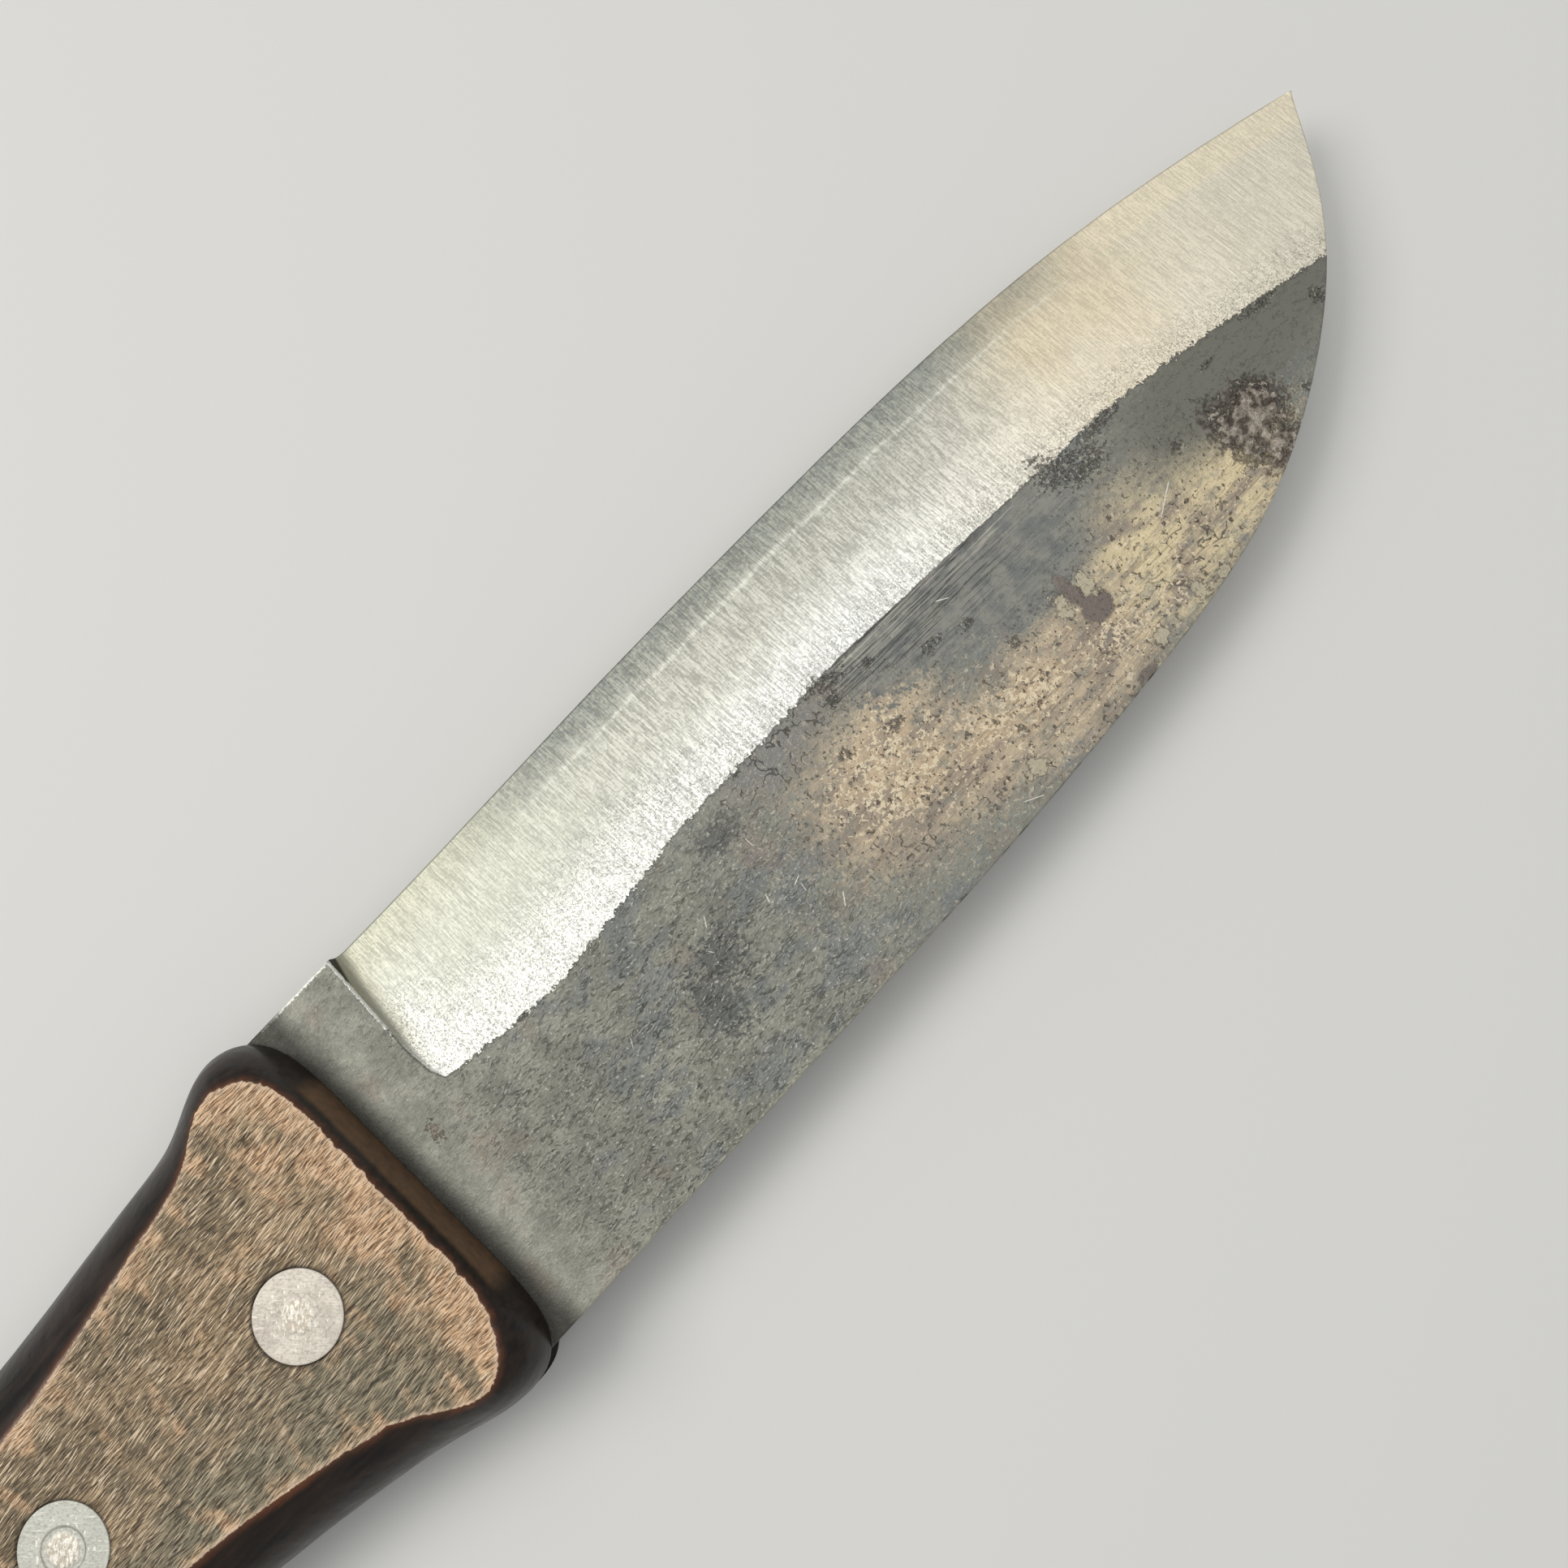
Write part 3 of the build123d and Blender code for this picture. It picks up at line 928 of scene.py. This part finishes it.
def new_look(name):
    """An empty node material, and a way to read what is painted on the pieces in it."""
    material = bpy.data.materials.new(name)
    material.use_nodes = True
    material.node_tree.nodes.clear()

    def painted(attribute, output="Fac"):
        return add_node(material.node_tree, "Attribute", {}, output, attribute_name=attribute)

    return material, painted


def shade(material, base, roughness, metallic=0.0, relief=(), depth=0.1, specular=0.5):
    """Finishes a material. Its relief adds up to bumps, with their depth in millimetres."""
    tree = material.node_tree
    inputs = {"Base Color": base, "Roughness": roughness, "Metallic": metallic}
    inputs["Specular IOR Level"] = specular
    if relief:
        bumps = {"Distance": depth * MM, "Height": sum(relief[1:], relief[0])}
        inputs["Normal"] = add_node(tree, "Bump", bumps)
    surface = add_node(tree, "BsdfPrincipled", inputs)
    output = tree.nodes.new("ShaderNodeOutputMaterial")
    tree.links.new(surface.socket, output.inputs["Surface"])
    return material


# ---------------- steel

# Large scratches: where each starts, its turn, length and half width.
SCRATCHES = (
    (43.3, 19.0, 55, 1.2, 0.09), (50.2, 15.7, 70, 1.0, 0.1), (53.6, 15.0, 20, 1.1, 0.08),
    (54.0, 13.6, 80, 1.0, 0.07), (55.7, 9.2, 52, 1.6, 0.1), (53.6, 21.6, 90, 1.1, 0.06),
    (88.6, 25.4, -32, 1.5, 0.08), (78.0, 2.4, -28, 2.4, 0.06), (113.5, 12.9, 30, 4.4, 0.09),
    (41.5, 17.0, -60, 0.7, 0.06), (28.0, 15.8, 60, 1.1, 0.06), (45.0, 11.6, 40, 0.8, 0.06),
)

# Creases of the forge scale: how many to a millimetre along X and along Y, and their turn.
CREASES = ((0.32, 1.25, -8), (0.6, 2.1, 12))


class Steel:
    """What the layers of the blade's material share. Each layer below adds its own relief."""

    def __init__(self):
        self.material, self.painted = new_look("forged_steel_look")
        self.plan = self.painted("plan", "Vector")
        self.x, self.y = self.plan.axis("X"), self.plan.axis("Y")
        self.gap, self.plunge_gap = self.painted("grind_gap"), self.painted("plunge_gap")
        self.patina = self.painted("patina")
        self.fine = self.plan.noise(3.2, 3, 0.65)
        self.mid = self.plan.noise(1.1, 3, 0.6)
        self.speckle = self.plan.noise(1.6, 4, 0.7) - 0.5
        self.grit = self.plan.noise(3.0, 3, 0.65) - 0.5
        self.wobble = self.mid - 0.5
        self.relief = []


def forge_scale(steel):
    """Grey forge scale with darker patches."""
    plan, x = steel.plan, steel.x
    base = plan.noise(0.22, 4, 0.6).band(0.36, 0.64).blend((134, 134, 123), (158, 157, 144))
    bluish = plan.grain(0.13, 0.24, 3, 0.6).band(0.5, 0.6) * x.band(12, 20)
    worn = plan.noise(0.9, 4, 0.7).band(0.54, 0.6) * x.band(18, 9)
    dark = (steel.painted("dark") + steel.speckle * 3.6).band(0.0, 0.5)
    return base.over(
        (x.band(34, 62) * 0.6, (128, 129, 121)),
        (bluish * 0.5, (116, 121, 124)),
        (plan.noise(0.16, 3).band(0.56, 0.68) * 0.35, (146, 128, 114)),
        (worn * 0.4, (112, 109, 100)),
        (dark * 0.9, (100, 102, 98)),
    )


def add_creases(steel, base):
    """Torn creases, mostly along the blade: painted shade in their cracks, painted highlights on
    their raised lips, and painted glints.
    """
    plan, x = steel.plan, steel.x
    wrinkled = steel.painted("wrinkled")
    grain = plan.grain(2.2, 3.6, 3, 0.65, -5)
    steel.rubbed = (grain - 0.5) * wrinkled.between(0.5, 1.0)
    base = base.lit(steel.rubbed * 1.1 + 1.0)
    bent = plan.bent(0.4, 0.9)
    for along, upward, turn in CREASES:
        fold = bent.grain(along, upward, 2, 0.6, turn) - 0.5
        patchy = plan.grain(along * 1.3, upward * 0.8, 2, 0.6, turn)
        torn = patchy.band(0.54, 0.62) * wrinkled
        wide = 0.03 + 0.016 * upward
        # Painted shade: the cracks are darkened as if shade fell in them; painted highlight: their
        # lips are lightened as if lit.
        shaded_crack = abs(fold).band(wide, wide * 0.4) * torn
        lip_highlight = fold.within(wide * 1.2, wide * 1.9, wide * 0.3) * torn
        base = base.over((shaded_crack * 0.34, (70, 71, 66)), (lip_highlight * 0.5, (200, 198, 187)))
        steel.relief += [shaded_crack * -1.0, fold * wrinkled * (3.0 / upward)]
    # Painted glints: tiny bright specks standing in for highlights, fainter on the ricasso.
    glint = grain.band(0.6, 0.64) * steel.mid.band(0.48, 0.54) * x.band(70, 50)
    glint = glint * x.band(9, 16).between(0.4, 1.0)
    return base.over((glint * 0.7, (222, 220, 210)))


def patina_tan(steel):
    """The patina's own colour: cream flecks, dark specks and streaks along the blade."""
    plan, low = steel.plan, steel.y.band(18, 10)
    amber = (steel.painted("amber") + steel.wobble * 1.2).band(-0.2, 0.6)
    cloud = plan.grain(0.16, 0.32, 4, 0.6)
    clouded = cloud.band(0.34, 0.6)
    streak = plan.grain(0.2, 3.2, 3, 0.65)
    fleck = plan.noise(1.7, 3, 0.6, 0.7)
    specks = (plan.grain(1.7, 2.2, 2, 0.6, 90) - amber * 0.015).band(0.36, 0.33)
    return cloud.band(0.38, 0.62).blend((156, 142, 127), (204, 186, 158)).over(
        (amber * clouded * 0.7, (214, 188, 153)),
        (steel.x.band(97, 109) * clouded * 0.9, (236, 218, 174)),
        (streak.band(0.53, 0.6) * low * 0.45, (124, 106, 84)),
        (streak.band(0.45, 0.38) * low * 0.4, (206, 188, 156)),
        ((fleck + amber * 0.08).band(0.6, 0.62) * 0.9, (240, 223, 190)),
        (specks * 0.8, (80, 70, 60)),
    ), fleck - specks


def add_patina(steel, base):
    """Brown patina with stray flecks, peeled plates and dots."""
    plan, x = steel.plan, steel.x
    bare = plan.grain(0.35, 0.6, 4, 0.65).band(0.54, 0.62)
    edged = steel.patina + steel.speckle * 1.2 + steel.wobble * 1.2
    steel.stained = edged.band(-0.45, 0.5) * (1.0 - bare * 0.45)
    tan, fleck = patina_tan(steel)
    stray = fleck.band(0.6, 0.63) * steel.patina.within(-0.8, 0.2, 0.3)
    plates = plan.bent(0.5, 4.0).cells(0.3, "DISTANCE_TO_EDGE")
    peel = steel.painted("peel").band(-0.4, 0.4)
    peel_line = plates.band(0.035, 0.01) * peel * plan.noise(0.7).band(0.46, 0.52)
    dots = (plan.cells(0.9) + steel.grit * 0.9).band(0.26, 0.17)
    dots = dots * plan.noise(0.4).band(0.5, 0.6) * steel.patina.band(-0.3, 0.2)
    steel.relief += [(fleck - 0.5) * steel.stained * 2.0, peel_line * -0.7, dots * -0.6]
    return base.over(
        (steel.stained * 0.94, tan),
        (stray * 0.6, (194, 184, 164)),
        (peel * x.band(100, 90) * 0.3, (140, 131, 122)),
        (peel_line * 0.75, (66, 60, 54)),
        (steel.fine.band(0.62, 0.67) * peel * 0.6, (204, 196, 180)),
        (dots * 0.75, (70, 61, 52)),
    )


def add_smooth_band(steel, base):
    """The smoother blue-grey band that a grinder has touched, with its grooves."""
    plan, x = steel.plan, steel.x
    field = steel.painted("smooth")
    torn = (field + steel.wobble * 1.6 + steel.speckle * 1.6).band(-0.1, 0.2)
    soft = (field + steel.wobble * 0.8).band(-0.55, 0.4)
    steel.smooth = x.band(99, 105).between(torn, soft)
    drag = plan.grain(0.12, 4.6, 3, 0.65, 3)
    streaky = drag * 0.4 + plan.noise(0.5, 4, 0.6) * 0.6
    grey = streaky.band(0.4, 0.6).blend((108, 110, 107), (134, 133, 124))
    touched = x.within(73, 97, 5) * steel.y.band(20, 25) * steel.patina.band(0.3, 0.0)
    grooves = drag.band(0.43, 0.38) * touched
    ridges = drag.band(0.56, 0.6) * x.within(73, 108, 4) * steel.gap.band(-3.6, -0.3)
    steel.relief += [steel.rubbed * steel.smooth.between(2.2, 0.3), grooves * -0.5]
    return base.over(
        (steel.smooth * 0.95, grey.over((x.band(108, 124), (106, 105, 95)))),
        (grooves * 0.5, (70, 69, 64)),
        (ridges * 0.45, (206, 200, 188)),
    )


def add_lumps(steel, base):
    """Flakes, pale scabs and the lump of crust, each with a dark rim; the crust's knobs carry
    painted highlights with painted shade between them.
    """
    speckle, wobble = steel.speckle, steel.wobble
    flake = steel.painted("flake") + wobble * 0.9
    scab_field = steel.painted("scab") + wobble * 2.8 + steel.grit * 0.4
    scab = scab_field.band(0.0, 0.08)
    crust_field = steel.painted("crust") + speckle * 2.2 + wobble * 1.2
    crust = crust_field.band(0.0, 0.12)
    knobs = steel.plan.bent(0.9, 1.2).cells(0.75) * -0.5 + steel.mid * 1.1 + 0.15
    # Painted light and shade on the crust: knob tops lightened as if lit, the hollows between them
    # darkened.
    tone = knobs.band(0.3, 0.45).blend((84, 74, 66), (144, 133, 121)).over(
        (knobs.band(0.48, 0.6), (184, 174, 160)), (speckle.band(-0.1, -0.16), (66, 57, 50)))
    steel.relief += [scab * 0.45, crust * knobs * 8.0, crust * speckle * 3.0]
    return base.over(
        (flake.band(0.0, 0.06), (122, 112, 104)),
        (flake.within(-0.08, 0.0, 0.04) * 0.6, (78, 68, 60)),
        (scab * 0.85, (190, 181, 156)),
        (scab_field.within(-0.16, 0.0, 0.05) * 0.7, (90, 80, 68)),
        (crust * 0.92, tone),
        (crust_field.within(-0.3, 0.04, 0.1) * 0.7, (66, 56, 48)),
    )


def add_wear(steel, base):
    """The bright corner of the spine, and the large scratches."""
    steel.corner = (steel.painted("wall") + steel.grit * 0.8).band(0.9, 0.5)
    spine = (steel.painted("spine_gap") + steel.wobble * 0.7).band(0.4, 0.1)
    scratches = [(steel.plan.stroke(*scratch) * 0.9, (236, 232, 216)) for scratch in SCRATCHES]
    return base.over((spine * steel.corner.between(0.3, 1.0) * 0.6, (190, 184, 166)), *scratches)


def satin(steel):
    """Ground steel: whiter at the heel, partly a rougher finish and partly painted reflection,
    dark along the edge, gold by the tip.
    """
    plan, x, edge_gap = steel.plan, steel.x, steel.painted("edge_gap")
    near = (steel.gap + plan.noise(0.5, 3) * 3.0).band(14.0, 3.0) * steel.y.band(44, 32)
    # Partly a rougher, whiter finish and partly painted reflection: the bevel lightened near the
    # grind line.
    white_and_reflection = x.band(50, 80).blend((243, 243, 235), (250, 250, 243))
    white_and_reflection = white_and_reflection.over((x.band(80, 116), (246, 239, 221)))
    cool = plan.noise(1.3, 3, 0.65).band(0.4, 0.6).blend((146, 149, 142), (165, 166, 155))
    cool = x.band(24, 48).blend((196, 195, 176), cool)
    line = (edge_gap + plan.noise(0.12)).within(4.5, 4.9, 0.35)
    line = line * x.band(24, 60) * x.band(140, 120)
    warm = x.band(124, 138) * edge_gap.band(5.0, 3.2)
    gold = plan.noise(0.12, 3) * x.within(114, 134, 6)
    return x.band(26, 72).blend((203, 203, 189), (202, 200, 187)).over(
        (x.band(100, 124), (228, 219, 196)),
        (x.band(136, 150), (226, 219, 200)),
        (near * x.band(156, 124), white_and_reflection),
        (edge_gap.band(7.0, 0.4) * x.band(140, 122), cool),
        (line * 0.75, (228, 227, 214)),
        (warm * 0.7, (240, 228, 200)),
        (gold * 0.6, (228, 208, 170)),
    )


def ground_bevel(steel):
    """The ground bevel's colour and height, with its strokes, and at the plunge painted shade on
    the fillet and a painted shadow on the steep wall.
    """
    plan, x, y, plunge_gap = steel.plan, steel.x, steel.y, steel.plunge_gap
    marks = plan.grain(4.2, 0.36, 3, 0.7) * 0.6 + plan.noise(3.0, 2, 0.6) * 0.32
    marks = marks + plan.grain(1.0, 0.1, 2, 0.5) * 0.08
    steel.strokes = marks.band(0.4, 0.6)
    calm = x.within(44, 112, 14).between(0.55, 0.0)
    contrast = steel.strokes.between(calm.between(0.68, 1.0), calm.between(1.12, 1.0))
    bevel = satin(steel).lit(contrast)
    shrink = x.band(45, 75).between(1.0, 2.4)
    near = ((steel.gap + steel.wobble * 8) * shrink).band(15.0, 0.5)
    worms = plan.noise(3.8, 2, 0.6, 1.2).band(0.45, 0.37) * near * y.band(44, 34)
    # Painted shade: the fillet at the foot of the plunge wall is darkened.
    fillet_shade = plunge_gap.band(3.0, 0.4) * y.band(27, 38)
    # Painted shadow: the steep plunge wall is darkened near the edge.
    plunge_wall_shadow = (plunge_gap - (y - 43.5) * 0.13).band(0.12, -0.12) * y.band(43.5, 44.6)
    return bevel.over(
        (worms * 0.5, (150, 148, 136)),
        (fillet_shade * 0.6, (154, 150, 126)),
        (plunge_wall_shadow * 0.9, (46, 43, 35)),
    ), marks * 0.9 + worms * -0.35 + -0.5


def joined(steel, base, bevel):
    """The forged face and the bevel, with the torn line and the bright burrs between them."""
    x, y, grit = steel.x, steel.y, steel.grit
    ragged = x.within(74, 105, 3).between(1.0, 0.25)
    on_plunge = steel.plunge_gap.band(1.6, 0.6)
    boundary = steel.gap + (steel.wobble * 1.4 + grit) * ragged * on_plunge.between(1.3, 0.15)
    steel.ground = boundary.band(-0.03, 0.06)
    burr = (steel.plunge_gap + grit * 0.5).within(-0.32, 0.08, 0.06)
    burr = burr * (y + steel.speckle * 16).band(36, 39)
    heel_rim = (48.0 - y + grit * 0.8).band(0.36, 0.16) * x.within(0.5, 11.2, 0.1) * steel.corner
    return base.over(
        (burr.maths("MAXIMUM", heel_rim), (255, 253, 244)),
        (boundary.within(-0.26, 0.0, 0.08) * 0.5, (62, 60, 55)),
        (steel.ground, bevel),
    )


def add_pits(steel, base):
    """Pits with painted highlights on their rims, and painted shadow with some dirt in front of
    the handle.
    """
    x, fine = steel.x, steel.fine
    field = steel.painted("pits") + steel.speckle * 3.4 + steel.grit * 1.6
    clumps = steel.plan.noise(1.7, 3, 0.65).band(0.56, 0.48)
    steel.pitted = field.band(0.02, 0.2) * clumps
    tone = fine.band(0.42, 0.6).blend((54, 51, 46), (112, 107, 98))
    # Painted highlight: the rims round the pits are lightened as if lit.
    rims = field.band(-0.1, 0.3) * clumps.band(0.4, 0.0) * fine.band(0.54, 0.6) * x.band(9, 14)
    # Painted shadow of the handle on the blade, together with some dirt; fainter on the tang.
    handle_shadow_and_grime = (x + steel.wobble * 0.8).band(5.0, 1.6) * x.band(-4, -2).between(0.4, 1.0)
    return base.over(
        (steel.pitted * 0.8, tone.over((x.band(12, 9), (124, 110, 98)))),
        (rims * 0.45, (190, 184, 172)),
        (handle_shadow_and_grime * 0.85, (38, 35, 28)),
    )


def make_steel():
    steel = Steel()
    forged = forge_scale(steel)
    for add_layer in (add_creases, add_patina, add_smooth_band, add_lumps, add_wear):
        forged = add_layer(steel, forged)
    bevel, ground_height = ground_bevel(steel)
    base = add_pits(steel, joined(steel, forged, bevel))
    rough = steel.mid.band(0.35, 0.65).between(0.42, 0.58)
    rough = steel.smooth.between(steel.stained.between(rough, 0.62), 0.4)
    rough = steel.ground.between(rough, steel.strokes.between(0.55, 0.45))
    metallic = steel.ground.between(steel.stained.between(0.4, 0.1), 0.65)
    forged_height = sum(steel.relief[1:], steel.relief[0])
    relief = [steel.ground.between(forged_height, ground_height), steel.pitted * -1.0]
    return shade(steel.material, base, rough, metallic, relief)


# ---------------- wood


def worn_wood(plan, x, y, rim_gap, disc_gap):
    """The worn flat: short fibres along the handle. Gives its colour, fibres and pores."""
    bent = plan.bent(0.08, 1.8)
    fibre = bent.grain(0.5, 5.2, 3, 0.65, -3)
    fibres = fibre * 0.55 + bent.grain(0.7, 8.6, 2, 0.6, 6) * 0.45
    cloud = plan.noise(0.12, 4, 0.6)
    zones = x.band(-13, -3) * 0.9 + rim_gap.band(4.5, 0.2) * 0.8
    orange = (zones + (plan.grain(0.3, 0.15, 3, 0.55) - 0.5) * 5.2).band(0.2, 1.4)
    grey = (y + cloud * 20).band(36, 24) * x.band(-4, -12) * (1.0 - orange * 0.8)
    clouded = cloud.band(0.4, 0.6)
    light = clouded.blend((150, 132, 104), (194, 167, 132)).over(
        (orange * 0.9, (247, 207, 165)), (grey * 0.75, (146, 140, 118)))
    dark = clouded.blend((80, 69, 53), (98, 80, 60)).over(
        (orange * 0.75, (132, 94, 62)), (grey * 0.75, (72, 70, 57)))
    pale = bent.grain(0.34, 6.4, 2, 0.6, -8).band(0.57, 0.61)
    pore = bent.grain(0.42, 5.8, 2, 0.6, 3).band(0.41, 0.37)
    return fibres.band(0.4, 0.6).blend(dark, light).over(
        (pale * grey.between(0.85, 0.45), (240, 216, 184)),
        (pore * 0.7, (46, 36, 27)),
        ((rim_gap + fibre * 2.4).band(1.7, 1.1) * 0.65, (240, 212, 182)),
        (disc_gap.band(0.45, 0.05) * 0.6, (48, 38, 28)),
    ), fibres, pore


def make_wood():
    material, painted = new_look("handle_wood_look")
    plan, rim_gap = painted("plan", "Vector"), painted("rim_gap")
    x, y = plan.axis("X"), plan.axis("Y")
    worn, fibres, pore = worn_wood(plan, x, y, rim_gap, painted("disc_gap"))

    # Dark lacquer on the sides, rubbed through along the front, with a lighter band of painted
    # reflection across the front wall.
    streaks = plan.grain(0.12, 0.9, 4, 0.6, z=0.9)
    # Painted reflection: a lighter brown band on the front wall, where the glossy lacquer faces
    # the blade.
    front_wall_reflection = y.within(9, 39, 1.5) * x.band(-1.6, -0.4) * painted("drop").band(1.2, 2.2)
    rubbed = (rim_gap * -1.0 + streaks * 2.4).band(2.3, 0.9)
    on_flat = (rim_gap + (plan.noise(2.2, 3, 0.65) - 0.5) * 0.5).band(-0.08, 0.06)
    base = streaks.band(0.35, 0.7).blend((22, 17, 13), (44, 31, 22)).over(
        (front_wall_reflection * streaks.between(0.2, 0.9), (128, 96, 68)),
        (rubbed * 0.55, (122, 74, 46)),
        (on_flat, worn),
    )
    roughness = on_flat.between(streaks.band(0.3, 0.7).between(0.28, 0.42), 0.72)
    relief = [
        fibres * on_flat * 1.6, pore * on_flat * -0.5,
        plan.noise(0.5, 3) * (1.0 - on_flat) * 0.8, on_flat * -0.3,
    ]
    return shade(material, base, roughness, 0.0, relief, 0.11, 0.4)


# ---------------- aluminium


def make_aluminium():
    material, painted = new_look("rivet_metal_look")
    plan, cool, from_centre = painted("plan", "Vector"), painted("cool"), painted("from_centre")
    cloud, grit = plan.noise(0.5, 3), plan.noise(3.0, 3, 0.65)
    lines = plan.grain(0.5, 3.4, 2, 0.6, 48)
    beaten = plan.grain(1.0, 2.2, 3, 0.65, -45)
    middle = (from_centre + cloud * 0.8).band(2.4, 1.9)
    chips = beaten.band(0.6, 0.64) * from_centre.band(3.9, 3.2)
    ring = (from_centre + (cloud - 0.5) * 0.3).within(2.28, 2.46, 0.06)
    dirt = (painted("from_rim") + grit * 0.2).band(0.2, 0.1)
    base = cloud.band(0.35, 0.65).blend((196, 188, 175), (216, 208, 195)).over(
        (cool * 0.7, (192, 196, 186)),
        (grit.band(0.5, 0.66) * 0.5, (168, 158, 146)),
        (lines.band(0.62, 0.68) * 0.6, (240, 234, 222)),
        (middle * 0.85, beaten.band(0.46, 0.56).blend((204, 192, 174), (255, 250, 238))),
        (chips * 0.8, (250, 245, 234)),
        (ring * cool * 0.6, (120, 110, 98)),
        (dirt * 0.5, (104, 94, 82)),
    )
    relief = [grit * middle.between(0.3, 1.0), lines * 0.4, beaten * middle * 1.6]
    return shade(material, base, grit.band(0.3, 0.7).between(0.5, 0.65), 0.4, relief, 0.08)


# ---------------- the knife


def dress(piece, material, node):
    piece.data.materials.append(material)
    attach(piece, "root")
    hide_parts(node)


def make_knife():
    steel, wood, aluminium = make_steel(), make_wood(), make_aluminium()
    dress(make_blade(), steel, "blade")
    dress(make_scale(1, LEFT_SEED, RIM_CUTS), wood, "left_scale")
    right_cuts = [(x, y + 1.5, reach, depth) for x, y, reach, depth in RIM_CUTS[3::2]]
    dress(make_scale(-1, RIGHT_SEED, right_cuts), wood, "right_scale")
    for number, place in enumerate(RIVETS):
        seed = RIVET_SEED + 40 * number
        dress(make_washer(place, seed), aluminium, place + "_washer")
        dress(make_rivet(place, seed + 10), aluminium, place + "_rivet")


# ---------------- studio

CAMERA_PLACE = (48.23, -0.29, 178.3)
CAMERA_RIGHT = (0.6814, -0.7302, -0.0494)
CAMERA_UP = (0.7283, 0.6699, 0.1443)
CAMERA_LENS = 36.06
SENSOR = 36.0
CLIP_START = 0.005
FLOOR_SIZE = 4.0
FLOOR_COLOUR = (222, 221, 217)
SKY_COLOUR = (0.94, 0.97, 1.0, 1.0)
SKY_STRENGTH = 0.3
LOOK_AT = (0.02, 0.0, 0.01)
# The soft lamps: name, place and size in metres, power and tint.
LAMPS = (
    ("key", (-0.36, 0.38, 0.72), 0.45, 3.4, (1.0, 0.98, 0.94)),
    ("overhead", (0.2, 0.08, 0.95), 1.2, 4.6, (1.0, 1.0, 1.0)),
)


def make_camera():
    camera = add_object("camera", bpy.data.cameras.new("camera"))
    camera.data.lens = CAMERA_LENS
    camera.data.sensor_width = SENSOR
    camera.data.clip_start = CLIP_START
    right, up = Vector(CAMERA_RIGHT).normalized(), Vector(CAMERA_UP)
    up = (up - right * up.dot(right)).normalized()
    turn = Matrix((right, up, right.cross(up))).transposed()
    camera.matrix_world = Matrix.Translation(to_row(CAMERA_PLACE)) @ turn.to_4x4()
    bpy.context.scene.camera = camera


def make_floor():
    mesh = bpy.data.meshes.new("floor")
    half = FLOOR_SIZE / 2
    corners = [(-half, -half, 0), (half, -half, 0), (half, half, 0), (-half, half, 0)]
    mesh.from_pydata(corners, [], [(0, 1, 2, 3)])
    material, _ = new_look("floor_look")
    mesh.materials.append(shade(material, colour(*FLOOR_COLOUR), 0.85))
    add_object("floor", mesh)


def make_light():
    """A faint sky, and square lamps that face the knife."""
    world = bpy.data.worlds.new("studio")
    world.use_nodes = True
    sky = world.node_tree.nodes["Background"].inputs
    sky["Color"].default_value = SKY_COLOUR
    sky["Strength"].default_value = SKY_STRENGTH
    bpy.context.scene.world = world
    bpy.context.scene.view_settings.view_transform = "Standard"
    for name, place, size, power, tint in LAMPS:
        lamp = bpy.data.lights.new(name, "AREA")
        lamp.size = size
        lamp.energy = power
        lamp.color = tint
        holder = add_object(name, lamp)
        holder.location = place
        toward = Vector(LOOK_AT) - Vector(place)
        holder.rotation_euler = toward.to_track_quat("-Z", "Y").to_euler()


make_camera()
make_floor()
make_light()
make_knife()
